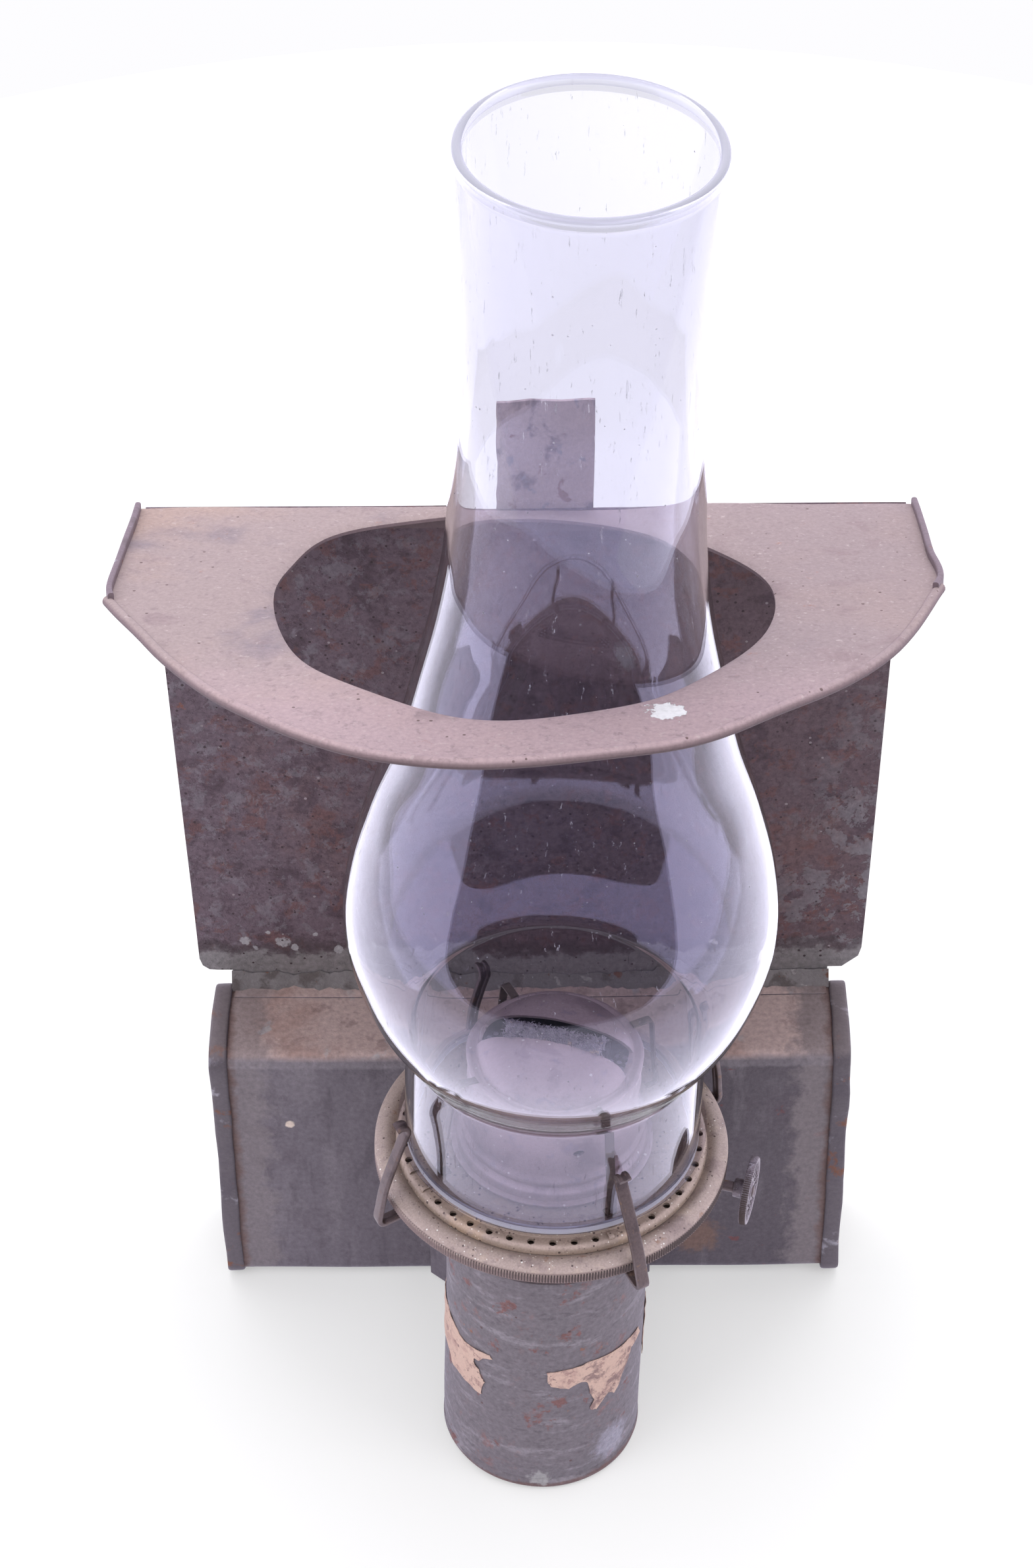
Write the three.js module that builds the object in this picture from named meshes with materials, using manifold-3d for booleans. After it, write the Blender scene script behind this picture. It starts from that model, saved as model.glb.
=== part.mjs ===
// Railroad wall lamp: a soldered tin bracket with a flat oil tank, a round oil can standing in front of it,
// a flat-wick burner screwed into the can, a bulged glass chimney and a D-shaped heat hood on the bracket.
// Millimetres, +Z up, the wall behind at +Y, the room in front at -Y. The origin is the centre of the base.

import * as THREE from 'three';
import { mergeVertices } from 'three/addons/utils/BufferGeometryUtils.js';
import Module from 'manifold-3d';

const wasm = await Module();
wasm.setup();

// Sheet, gaps and cuts
const tinWall = 0.8;            // tinned sheet of tank, plate, hood and can
const brassWall = 0.8;          // pressed brass sheet of the burner
const seamGap = 0.3;            // gap between pieces that touch
const cutOverrun = 2;           // how far a cutting tool runs past what it cuts

// Tank, with its crimped end caps
const tankWidth = 184;
const tankDepth = 34;
const tankHeight = 94;
const tankCornerRadius = 4;
const capRimWidth = 5;          // crimped rim of an end cap, along X
const capRecess = 2;            // how deep the end plate sits inside the rim

// Back plate
const plateFootWidth = 192;
const plateTopWidth = 199;
const plateHeight = 168.5;
const plateFootRise = 3.4;      // the overhanging corners start this far above the tank
const plateLap = 14;            // tongue soldered to the tank's back
const plateLeftCornerRadius = 6;
const plateRightCornerClip = 7;
const footSolderLeg = 3.2;

// Hanging tab
const tabWidth = 31;
const tabRise = 34.5;
const tabLap = 22;
const tabShift = 3;

// Heat hood, measured along its own slope from the bend at the back plate
const hoodSideBand = 41.3;      // sheet beside the hole
const hoodFrontBand = 24;       // sheet in front of the hole
const hoodTiltDegrees = 16;
const hoodFlange = 6;
const hoodHoleHalfWidth = 62;
const hoodHoleHalfLength = 65;
const hoodHoleCentre = 68;
const hoodSideRimHeight = 3.2;
const hoodSideRimWidth = 1.8;
const hoodBeadRadius = 1.5;

// Round oil can and the font's lean, which the whole can, burner and chimney share
const fontReach = 53;           // tank front to the can's axis
const fontShift = 2.4;          // the can stands a little right of the middle
const fontLeanDegrees = 1.75;
const canRadius = 28.1;
const canHeight = 87;
const canLidDrop = 1.5;
const feedDuctWidth = 66;
const feedDuctNeckWidth = 52;
const feedDuctFlare = 6;         // how far from the tank the duct narrows to its neck
const feedDuctHeight = 12;
const feedHoleRadius = 4;

// Burner, from the basket's foot up
const galleryRise = 18.2;        // edge of the gallery's flange above the basket's foot
const galleryRadius = 48;
const galleryBandHeight = 3.5;
const galleryGrooveRadius = 42.3;
const galleryInnerRadius = 38;
const galleryCrown = 2.1;       // the flange's crown above its edge
const galleryGrooveRise = 1;
const seatRise = 3.7;           // seat ring above the flange's edge
const seatBeadRadius = 38.1;     // raised bead of the seat ring, on which the glass stands
const seatBeadWidth = 2.9;
const seatBeadRise = 2.3;
const seatHoleRing = 40;
const seatHoleRadius = 1;
const seatHoleCount = 44;
const collarBore = 16.4;
const collarWall = 1.4;
const collarNeckHeight = 8.4;
const collarFlangeRadius = 20.5;
const baseThickness = 1.5;
const baseFlangeRadius = 19.5;
const baseSkirtWall = 0.8;
const baseSkirtLength = 7;
const basketFootRadius = 19.5;
const basketHoleRadius = 1.1;
const basketHolesPerRow = 16;
const shellRadius = 23.9;
const shellFootRadius = 27.4;
const shellHeight = 27.5;
const shellBead = 1;
const domeRadius = 24.2;
const domeHeight = 10.8;
const domeRingHeight = 1.2;
const domeSlotWidth = 9;
const diffuserDrop = 2;
const diffuserHoleRadius = 0.9;
const diffuserRingShares = [0.62, 0.82];
const diffuserHolesPerRing = 14;

// Wick and its raiser
const wickAngleDegrees = -15;
const wickWidth = 27;
const wickThickness = 2.4;
const wickTipRise = 43;          // wick's tip above the gallery's edge
const wickLength = 132;
const tubeRise = 39.8;           // wick tube's top above the gallery's edge
const tubeFoot = 84.5;
const shaftDrop = 9.7;           // the shaft's line below the gallery's edge
const shaftRadius = 1.5;
const shaftTailReach = 14;
const sprocketRadius = 4.6;
const sprocketThickness = 1.2;
const sprocketSpread = 7.5;
const sprocketToothDepth = 0.7;
const sprocketTeeth = 12;
const cradleEar = 12.4;
const cradleWall = 1;
const cradleHalfHeight = 3.8;
const wheelRadius = 9.5;
const wheelThickness = 2;
const wheelOverhang = 6.2;       // the wheel's middle past the gallery's edge
const wheelWeb = 1;
const wheelRim = 1.5;
const wheelHubRadius = 2.6;
const wheelHubLength = 3.2;
const wheelHoleRadius = 0.8;
const wheelHoleRing = 4.3;
const wheelHoles = 6;
const bushRadius = 3.1;
const bushLength = 9;

// Chimney springs and dome springs
const prongFirstDegrees = -62.5;
const prongWidth = 3.6;
const prongThickness = 1.2;
const prongRootDrop = 6.6;       // the springs' roots below the gallery's edge
const prongElbowRadius = 51.5;
const prongTipRise = 27.8;       // the springs' tips above the gallery's edge
const prongCurl = 1.8;
const prongGrooveWidth = 1;
const prongGrooveDepth = 0.4;
const prongSplays = { front_right: 0, back_right: 8, back_left: 3, front_left: 6 };
const domeSpringWidth = 2.6;
const domeSpringFoot = 33.4;
const domeSpringShoulder = 29.6;
const domeSpringThickness = 0.6;

// Glass chimney
const chimneyFitterRadius = 39.8;
const chimneyFitterHeight = 37;
const chimneyWall = 2.4;
const chimneyBulgeRadius = 55.8;
const chimneyTubeRadius = 30;
const chimneyHeight = 307;
const chimneyLipBead = 0.4;

// Radius and height of the bulge's stations, as shares of the bulge radius and the whole height
const chimneyStationShares = [
  [0.735, 0.13], [0.787, 0.143], [0.893, 0.178], [0.968, 0.22], [1, 0.266],
  [0.965, 0.318], [0.883, 0.376], [0.772, 0.442], [0.681, 0.513], [0.602, 0.585], [0.553, 0.656],
];

// Air basket from its foot to its rim: how far out and how high, as shares of the whole run
const basketStationShares = [[0.5, 0.16], [0.79, 0.42], [0.93, 0.7], [1, 0.88], [1, 1]];

// The gallery's rolled edge, from the top of its knurled band inwards and up to its crown
const galleryEdgeShares = [[0.14, 0.5], [0.38, 0.86], [0.66, 1], [0.84, 0.8]];

// The dome above its foot ring, from its rim to the middle
const domeStationShares = [[0.91, 0.08], [0.86, 0.22], [0.75, 0.52], [0.53, 0.8], [0.26, 0.96], [0, 1]];

// Beads of the draft shell: how far out past the shell and how high, as shares of the bead
const shellBeadShares = [[2, 0.2], [1.8, 2.6], [0.5, 4], [1, 5.6], [0, 8]];

// Hood outline from its left corner round the front, and its hole, as shares of their half sizes
const hoodFrontShares = [
  [-1, 0.39], [-0.83, 0.622], [-0.605, 0.83], [-0.34, 0.968], [0, 1],
  [0.34, 0.935], [0.6, 0.8], [0.84, 0.62], [1, 0.36],
];
const hoodBackShares = [[0.984, 0], [-0.985, 0]];
const hoodHoleShares = [
  [-1, -0.08], [-0.96, -0.42], [-0.8, -0.76], [-0.42, -0.94], [0, -0.98],
  [0.42, -0.88], [0.78, -0.6], [0.98, -0.22], [0.95, 0.2], [0.76, 0.53],
  [0.45, 0.86], [0.06, 1], [-0.3, 0.95], [-0.68, 0.68], [-0.9, 0.38],
];

// Facets
const roundSteps = 32;
const smallRoundSteps = 12;
const holeSteps = 5;
const cornerSteps = 4;
const hoodFrontSteps = 32;
const hoodHoleSteps = 40;

const rad = THREE.MathUtils.degToRad;
const fontLean = rad(fontLeanDegrees);
const wickAngle = rad(wickAngleDegrees);
const hoodTilt = rad(hoodTiltDegrees);

// Places worked out from the sizes above
const hoodHalfWidth = hoodHoleHalfWidth + hoodSideBand;
const hoodReach = hoodHoleCentre + hoodHoleHalfLength + hoodFrontBand;
const capProud = seamGap + tinWall;
const wallFace = tankDepth / 2;                       // rear of the end caps and of the back plate
const plateFront = wallFace - tinWall;
const wrapHalfDepth = tankDepth / 2 - capProud;
const wrapTop = tankHeight - capProud;
const wrapHalfLength = tankWidth / 2 - capRecess - tinWall - seamGap;
const plateFoot = tankHeight + plateFootRise;
const plateTop = plateFoot + plateHeight;
const fontAxisY = -wrapHalfDepth - fontReach;
const fontLift = canRadius * Math.sin(fontLean);      // the leaning can stands on its lower edge
const canInner = canRadius - tinWall;
const lidRadius = canInner - seamGap;
const lidTop = canHeight - canLidDrop;
const collarOuter = collarBore + collarWall;
const collarSeat = lidTop + seamGap;
const collarTop = lidTop + collarNeckHeight;
const baseFoot = collarTop + seamGap;
const baseTop = baseFoot + baseThickness;
const basketFoot = baseTop + seamGap;
const galleryHeight = basketFoot + galleryRise;       // the edge of its flange
const prongRootHeight = galleryHeight - prongRootDrop;
const prongTipHeight = galleryHeight + prongTipRise;
const shaftHeight = galleryHeight - shaftDrop;
const tubeTop = galleryHeight + tubeRise;
const wickTip = galleryHeight + wickTipRise;
const basketRadius = galleryRadius - brassWall - seamGap;
const wheelReach = galleryRadius + wheelOverhang;
const seatTop = galleryHeight + seatRise;
const shellFoot = seatTop + seamGap;
const shellTop = shellFoot + shellHeight;
const domeFoot = shellTop + seamGap;
const chimneyFoot = seatTop + seatBeadRise + seamGap;
const tubeHalfThickness = wickThickness / 2 + seamGap + brassWall;
const tubeHalfWidth = wickWidth / 2 + seamGap + brassWall;
const shaftOffset = wickThickness / 2 + seamGap + sprocketRadius;

// Materials, one per finish
function finish(color, roughness, metalness, more) {
  return new THREE.MeshStandardMaterial({ color, roughness, metalness, ...more });
}

const rustedTin = finish(0x5d4d4c, 0.75, 0.55);
const hoodTin = finish(0xa08c86, 0.7, 0.45);
const tankTin = finish(0x655c60, 0.7, 0.55);
const canTin = finish(0x77727a, 0.6, 0.6);
const solder = finish(0x7a7878, 0.5, 0.7);
const agedBrass = finish(0x96846f, 0.45, 0.8);
const darkSteel = finish(0x574c4c, 0.5, 0.8);
const charredWick = finish(0x6a6266, 0.95, 0);
const clearGlass = finish(0xe6e4f5, 0.05, 0, { transparent: true, opacity: 0.35 });

// A geometry as one closed solid, turned outwards
function solidOf(geometry) {
  const bare = geometry.clone();
  bare.deleteAttribute('normal');
  bare.deleteAttribute('uv');
  const merged = mergeVertices(bare);
  const points = merged.getAttribute('position').array;
  const corners = merged.index.array;
  const kept = [];
  let volume = 0;
  const [a, b, c] = [new THREE.Vector3(), new THREE.Vector3(), new THREE.Vector3()];
  for (let i = 0; i < corners.length; i += 3) {
    const [p, q, r] = corners.slice(i, i + 3);
    if (p === q || q === r || r === p) continue;
    kept.push(p, q, r);
    volume += a.fromArray(points, 3 * p).dot(b.fromArray(points, 3 * q).cross(c.fromArray(points, 3 * r)));
  }
  const triVerts = new Uint32Array(volume < 0 ? kept.reverse() : kept);
  return new wasm.Manifold(new wasm.Mesh({ numProp: 3, vertProperties: new Float32Array(points), triVerts }));
}

function geometryOf(solid) {
  const mesh = solid.getMesh();
  const geometry = new THREE.BufferGeometry();
  geometry.setAttribute('position', new THREE.BufferAttribute(new Float32Array(mesh.vertProperties), 3));
  geometry.setIndex(new THREE.BufferAttribute(new Uint32Array(mesh.triVerts), 1));
  geometry.computeVertexNormals();
  return geometry;
}

const join = (...geometries) => geometryOf(geometries.map(solidOf).reduce((sum, next) => sum.add(next)));

function cut(geometry, ...tools) {
  return geometryOf(tools.map(solidOf).reduce((rest, tool) => rest.subtract(tool), solidOf(geometry)));
}

// A ring or disc turned round Z from points of radius and height
function turned(points, steps = roundSteps) {
  const profile = points.map(([radius, height]) => new THREE.Vector2(radius, height));
  return new THREE.LatheGeometry(profile, steps).rotateX(Math.PI / 2);
}

function tube(outer, inner, foot, top, steps = roundSteps) {
  return turned([[inner, foot], [outer, foot], [outer, top], [inner, top], [inner, foot]], steps);
}

function rod(radius, foot, top, steps = smallRoundSteps) {
  return turned([[0, foot], [radius, foot], [radius, top], [0, top]], steps);
}

// A sheet pressed to a profile: the outside points, then the same line one wall inwards
function pressed(outside, wall, steps = roundSteps) {
  const inside = outside.map((point, i) => {
    const before = outside[Math.max(i - 1, 0)];
    const after = outside[Math.min(i + 1, outside.length - 1)];
    const run = Math.hypot(after[0] - before[0], after[1] - before[1]);
    return [point[0] - wall * (after[1] - before[1]) / run, point[1] + wall * (after[0] - before[0]) / run];
  });
  return turned([...outside, ...inside.reverse(), outside[0]], steps);
}

function roundedRect(halfWidth, low, high, radius) {
  const shape = new THREE.Shape();
  const quarter = Math.PI / 2;
  shape.moveTo(halfWidth, low + radius);
  shape.absarc(halfWidth - radius, high - radius, radius, 0, quarter, false);
  shape.absarc(-halfWidth + radius, high - radius, radius, quarter, 2 * quarter, false);
  shape.absarc(-halfWidth + radius, low + radius, radius, 2 * quarter, 3 * quarter, false);
  shape.absarc(halfWidth - radius, low + radius, radius, 3 * quarter, 4 * quarter, false);
  return shape;
}

const extruded = (shape, depth, curveSegments = cornerSteps) =>
  new THREE.ExtrudeGeometry(shape, { depth, bevelEnabled: false, curveSegments });

function polygon(points) {
  return new THREE.Shape(points.map(([x, y]) => new THREE.Vector2(x, y)));
}

// A block between two corners
function block(low, high) {
  const size = high.map((value, i) => value - low[i]);
  return new THREE.BoxGeometry(...size).translate(...low.map((value, i) => value + size[i] / 2));
}

const axisX = new THREE.Vector3(1, 0, 0);
const axisY = new THREE.Vector3(0, 1, 0);
const axisZ = new THREE.Vector3(0, 0, 1);
const drawnInYZ = new THREE.Matrix4().makeBasis(axisY, axisZ, axisX);
const drawnInXZ = new THREE.Matrix4().makeBasis(axisX, axisZ, axisY.clone().negate());

// A section drawn in Y and Z, run along X
function alongX(shape, start, length) {
  return extruded(shape, length).applyMatrix4(drawnInYZ).translate(start, 0, 0);
}

// A sheet drawn in X and Z, whose rear face lies at the given Y
function upright(shape, rear, thickness) {
  return extruded(shape, thickness).applyMatrix4(drawnInXZ).translate(0, rear, 0);
}

const turnedAbout = (geometry, angle) => geometry.rotateZ(angle);

function smoothPoints(shares, steps, closed, place) {
  const stations = shares.map(([x, y]) => new THREE.Vector3(x, y, 0));
  const curve = new THREE.CatmullRomCurve3(stations, closed, 'centripetal');
  return curve.getPoints(steps).map((point) => place(point.x, point.y));
}

const lamp = new THREE.Group();
const bracket = new THREE.Group();
const hood = new THREE.Group();
const font = new THREE.Group();
lamp.add(bracket);
bracket.add(hood);
bracket.add(font);
hood.position.set(0, plateFront - seamGap, plateTop);
hood.rotation.x = -hoodTilt;
font.position.set(fontShift, fontAxisY, fontLift);
font.rotation.y = fontLean;

function place(name, geometry, material, group) {
  const mesh = new THREE.Mesh(geometry, material);
  mesh.name = name;
  group.add(mesh);
  return mesh;
}

// The can's cutting cylinder, in the bracket's frame
const asFont = (geometry) => geometry.rotateY(fontLean).translate(fontShift, fontAxisY, fontLift);

function tankBody() {
  const outside = roundedRect(wrapHalfDepth, capProud, wrapTop, tankCornerRadius);
  const insideRadius = tankCornerRadius - tinWall;
  const insideDepth = wrapHalfDepth - tinWall;
  outside.holes.push(roundedRect(insideDepth, capProud + tinWall, wrapTop - tinWall, insideRadius));
  const feedHole = rod(feedHoleRadius, -cutOverrun - tinWall, cutOverrun + tinWall).rotateX(Math.PI / 2);
  feedHole.translate(fontShift, -wrapHalfDepth, capProud + feedDuctHeight / 2);
  return cut(alongX(outside, -wrapHalfLength, 2 * wrapHalfLength), feedHole);
}

function endCap(side) {
  const outside = roundedRect(tankDepth / 2, 0, tankHeight, tankCornerRadius + capProud);
  const insideRadius = tankCornerRadius + seamGap;
  const inside = roundedRect(wrapHalfDepth + seamGap, tinWall, tankHeight - tinWall, insideRadius);
  const pocketDepth = capRimWidth - capRecess - tinWall;
  const cap = cut(
    alongX(outside, 0, capRimWidth),
    alongX(inside, -cutOverrun, cutOverrun + pocketDepth),
    alongX(inside, pocketDepth + tinWall, capRecess + cutOverrun),
  );
  if (side < 0) cap.rotateZ(Math.PI);
  return cap.translate(side * (tankWidth / 2 - capRimWidth), 0, 0);
}

function backPlate() {
  const foot = plateFootWidth / 2;
  const tongue = tankWidth / 2 - capRimWidth - seamGap;
  const tongueFoot = wrapTop - plateLap;
  const shape = new THREE.Shape();
  shape.moveTo(-tongue, tongueFoot);
  shape.lineTo(tongue, tongueFoot);
  shape.lineTo(tongue, plateFoot);
  shape.lineTo(foot - plateRightCornerClip, plateFoot);
  shape.lineTo(foot, plateFoot + plateRightCornerClip);
  shape.lineTo(plateTopWidth / 2, plateTop);
  shape.lineTo(-plateTopWidth / 2, plateTop);
  const round = plateLeftCornerRadius;
  shape.lineTo(-foot, plateFoot + round);
  shape.absarc(-foot + round, plateFoot + round, round, Math.PI, 1.5 * Math.PI, false);
  shape.lineTo(-tongue, plateFoot);
  return upright(shape, wallFace, tinWall);
}

function footSolder() {
  const back = plateFront - seamGap;
  const low = wrapTop + seamGap;
  const reach = tankWidth / 2 - capRimWidth - seamGap;
  const waist = footSolderLeg / 3;
  const section = polygon([
    [back - footSolderLeg, low], [back, low], [back, low + footSolderLeg], [back - waist, low + waist],
  ]);
  return alongX(section, -reach, 2 * reach);
}

function hangingTab() {
  const low = plateTop - tabLap;
  const high = plateTop + tabRise;
  const half = tabWidth / 2;
  const nick = tinWall;
  const outline = polygon([
    [tabShift - half, low], [tabShift + half, low], [tabShift + half, high],
    [tabShift - half + nick, high - nick], [tabShift - half, high - tabRise / 3],
    [tabShift - half + nick, high - tabRise / 2],
  ]);
  return upright(outline, wallFace + seamGap + tinWall, tinWall);
}

// Drawn flat, with X across and Y towards the back, then tilted up with its group
function hoodPlate() {
  const onHood = (x, s) => [x * hoodHalfWidth, -s * hoodReach];
  const front = smoothPoints(hoodFrontShares, hoodFrontSteps, false, onHood);
  const back = hoodBackShares.map(([x, s]) => onHood(x, s));
  const sheet = polygon([...front, ...back]);
  const toHole = (x, s) => new THREE.Vector2(x * hoodHoleHalfWidth, -hoodHoleCentre - s * hoodHoleHalfLength);
  sheet.holes.push(new THREE.Path(smoothPoints(hoodHoleShares, hoodHoleSteps, true, toHole)));
  const flangeHalf = plateTopWidth / 2 - tinWall;
  const flange = block([-flangeHalf, -tinWall, -hoodFlange], [flangeHalf, 0, tinWall / 2]).rotateX(hoodTilt);
  const sheetSolid = extruded(sheet, tinWall).translate(0, 0, -tinWall / 2);
  return join(sheetSolid, flange, hoodBead(front), sideRim(-1, front[0]), sideRim(1, front.at(-1)));
}

// Wired bead round the hood's front edge
function hoodBead(front) {
  const stations = front.map(([x, y]) => new THREE.Vector3(x, y, 0));
  const path = new THREE.CatmullRomCurve3(stations, false, 'centripetal');
  const round = new THREE.Shape().absarc(0, 0, hoodBeadRadius, 0, 2 * Math.PI, false);
  const settings = { steps: hoodFrontSteps, curveSegments: cornerSteps, extrudePath: path };
  return new THREE.ExtrudeGeometry(round, settings);
}

// Folded rim that stands up along a side edge of the hood, from the back to the corner
function sideRim(side, corner) {
  const backX = hoodHalfWidth * hoodBackShares[0][0];
  const lean = Math.atan2(Math.abs(corner[0]) - backX, -corner[1]);
  const half = hoodSideRimWidth / 2;
  const section = roundedRect(half, -tinWall, hoodSideRimHeight, half - seamGap);
  const rim = extruded(section, Math.hypot(corner[1], corner[0] - side * backX)).rotateX(Math.PI / 2);
  return rim.rotateZ(side * lean).translate(side * (backX - hoodSideRimWidth / 2 + seamGap), 0, 0);
}

// Flat duct that carries oil from the tank to the can, open at both ends
function feedDuct() {
  const rear = -wrapHalfDepth - seamGap;
  const plan = (inset, end) => {
    const wide = feedDuctWidth / 2 - inset;
    const narrow = feedDuctNeckWidth / 2 - inset;
    const neck = rear - feedDuctFlare;
    const corners = [
      [-wide, end], [-narrow, neck], [-narrow, fontAxisY], [narrow, fontAxisY], [narrow, neck], [wide, end],
    ];
    return polygon(corners.map(([x, y]) => [fontShift + x, y]));
  };
  const shell = extruded(plan(0, rear), feedDuctHeight).translate(0, 0, capProud);
  const mouth = extruded(plan(tinWall, rear + cutOverrun), feedDuctHeight - 2 * tinWall);
  const can = asFont(rod(canRadius + seamGap, -cutOverrun, canHeight, roundSteps));
  return cut(shell, mouth.translate(0, 0, capProud + tinWall), can);
}

function canBody() {
  const wall = tube(canRadius, canInner, 0, canHeight);
  const hole = rod(feedHoleRadius, canInner - cutOverrun, canRadius + cutOverrun).rotateX(-Math.PI / 2);
  return cut(wall, hole.translate(0, 0, feedDuctHeight / 2));
}

const canBottom = () => rod(lidRadius, canLidDrop, canLidDrop + tinWall, roundSteps);
const canTop = () => tube(lidRadius, collarOuter + seamGap, lidTop - tinWall, lidTop);

function burnerCollar() {
  const skirt = lidTop - baseSkirtLength / 2;
  return turned([
    [collarBore, skirt], [collarOuter, skirt], [collarOuter, collarSeat], [collarFlangeRadius, collarSeat],
    [collarFlangeRadius, collarSeat + tinWall], [collarOuter, collarSeat + tinWall], [collarOuter, collarTop],
    [collarBore, collarTop], [collarBore, skirt],
  ]);
}

// The slot that the wick tube passes through, along X before the turn to the wick's angle
function tubeSlot(foot, top) {
  const half = [tubeHalfWidth + seamGap, tubeHalfThickness + seamGap];
  return turnedAbout(block([-half[0], -half[1], foot], [half[0], half[1], top]), wickAngle);
}

function burnerBase() {
  const outer = collarBore - seamGap;
  const inner = outer - baseSkirtWall;
  const body = turned([
    [0, baseFoot], [inner, baseFoot], [inner, baseFoot - baseSkirtLength],
    [outer, baseFoot - baseSkirtLength], [outer, baseFoot], [baseFlangeRadius, baseFoot],
    [baseFlangeRadius, baseTop], [0, baseTop],
  ]);
  return cut(body, tubeSlot(baseFoot - cutOverrun, baseTop + cutOverrun));
}

// Stations of the basket's outside, from its foot up under the gallery
function basketLine() {
  const spread = basketRadius - basketFootRadius;
  const rise = galleryHeight - seamGap - basketFoot;
  const station = ([r, h]) => [basketFootRadius + spread * r, basketFoot + rise * h];
  const stations = basketStationShares.map(station);
  return [[baseFlangeRadius - brassWall * 4, basketFoot], [basketFootRadius, basketFoot], ...stations];
}

// Radius of the basket's outside at a height
function basketRadiusAt(height) {
  const line = basketLine();
  const i = line.findIndex(([, z]) => z >= height);
  const [[r0, z0], [r1, z1]] = [line[i - 1], line[i]];
  return r0 + (r1 - r0) * (height - z0) / (z1 - z0);
}

function airBasket() {
  const line = basketLine();
  const holes = [2, 3].flatMap((station, row) => {
    const [[r0, z0], [r1, z1]] = line.slice(station, station + 2);
    const outwards = Math.atan2(z1 - z0, r0 - r1);
    const hole = () => rod(basketHoleRadius, -cutOverrun, cutOverrun, holeSteps).rotateY(outwards);
    return Array.from({ length: basketHolesPerRow }, (_, i) => {
      const angle = 2 * Math.PI * (i + row / 2 + 1 / 4) / basketHolesPerRow;
      return hole().translate((r0 + r1) / 2, 0, (z0 + z1) / 2).rotateZ(angle);
    });
  });
  const bushHole = alongShaft(rod(bushRadius + seamGap, wheelReach / 2, wheelReach, holeSteps * 2));
  return cut(pressed(line, brassWall), ...holes, bushHole);
}

// Carries a piece turned round Z to the shaft's line, so that its height becomes the reach along the shaft
function alongShaft(geometry) {
  return geometry.rotateY(Math.PI / 2).translate(0, shaftOffset, shaftHeight).rotateZ(wickAngle);
}

function gallery() {
  const groove = galleryHeight + galleryGrooveRise;
  const flange = galleryRadius - galleryGrooveRadius;
  const station = ([r, h]) => [galleryRadius - flange * r, galleryHeight + galleryCrown * h];
  const edge = galleryEdgeShares.map(station);
  return pressed([
    [galleryRadius, galleryHeight - galleryBandHeight], [galleryRadius, galleryHeight], ...edge,
    [galleryGrooveRadius, groove], [galleryInnerRadius, groove],
  ], brassWall, roundSteps + cornerSteps * 3);
}

// Whether a seat hole would fall where a chimney spring's foot is fixed
function nearProng(angle) {
  const step = Math.PI / 2;
  const turn = (angle - rad(prongFirstDegrees)) / step;
  return Math.abs(turn - Math.round(turn)) * step < Math.PI / seatHoleCount;
}

function seatRing() {
  const groove = galleryHeight + galleryGrooveRise + seamGap;
  const skirt = galleryGrooveRadius - seamGap;
  const bore = shellRadius + seamGap * 2;
  const bead = seatTop + seatBeadRise;
  const beadBore = seatBeadRadius - seatBeadWidth;
  const ring = pressed([
    [skirt, groove], [skirt, seatTop], [seatBeadRadius + brassWall, seatTop], [seatBeadRadius, bead],
    [beadBore, bead], [beadBore - brassWall, seatTop], [bore, seatTop],
  ], brassWall);
  const everyAngle = Array.from({ length: seatHoleCount }, (_, i) => 2 * Math.PI * i / seatHoleCount);
  const angles = everyAngle.filter((angle) => !nearProng(angle));
  const low = seatTop - brassWall - cutOverrun / 2;
  const hole = () => rod(seatHoleRadius, low, seatTop + cutOverrun, holeSteps);
  return cut(ring, ...angles.map((angle) => hole().translate(seatHoleRing, 0, 0).rotateZ(angle)));
}

// Upright shell between the seat ring and the dome, beaded at its foot
function draftShell() {
  const foot = shellFoot + brassWall;
  const beads = shellBeadShares.map(([out, up]) => [shellRadius + shellBead * out, foot + shellBead * up]);
  return pressed([[shellFootRadius, foot], ...beads, [shellRadius, shellTop]], brassWall);
}

// Stations of the dome's outside, from its foot ring to the middle
function domeLine() {
  const shoulder = domeFoot + domeRingHeight;
  const rise = domeHeight - domeRingHeight;
  const stations = domeStationShares.map(([r, h]) => [domeRadius * r, shoulder + rise * h]);
  return [[domeRadius, domeFoot], [domeRadius, shoulder], ...stations];
}

// Cap over the flame with one slot right across it, in line with the wick
function dome() {
  const line = domeLine();
  const shrink = 1 - brassWall / domeRadius;
  const inside = line.slice(2).map(([radius, height]) => [radius * shrink, height - brassWall]);
  const cap = turned([...line, ...inside.reverse(), [domeRadius * shrink, domeFoot], line[0]]);
  const low = domeFoot + domeRingHeight * 2;
  const half = domeSlotWidth / 2;
  const slot = block([-domeRadius, -half, low], [domeRadius, half, low + domeHeight]);
  return cut(cap, turnedAbout(slot, wickAngle));
}

// Perforated disc round the wick tube, below the dome
function innerDiffuser() {
  const top = shellTop - diffuserDrop;
  const radius = shellRadius - brassWall - seamGap;
  const ringHoles = (share, ring) => Array.from({ length: diffuserHolesPerRing }, (_, i) => {
    const angle = 2 * Math.PI * (i + ring / 2) / diffuserHolesPerRing;
    const across = Math.abs(Math.sin(angle)) * share * radius;
    const nearTube = across < tubeHalfThickness + diffuserHoleRadius * 2;
    if (nearTube && share * radius < tubeHalfWidth + diffuserHoleRadius * 2) return null;
    const hole = rod(diffuserHoleRadius, top - cutOverrun, top + cutOverrun, holeSteps);
    return hole.translate(share * radius, 0, 0).rotateZ(angle + wickAngle);
  });
  const holes = diffuserRingShares.flatMap(ringHoles).filter(Boolean);
  const disc = rod(radius, top - brassWall, top, roundSteps);
  return cut(disc, tubeSlot(top - cutOverrun, top + cutOverrun), ...holes);
}

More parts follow.
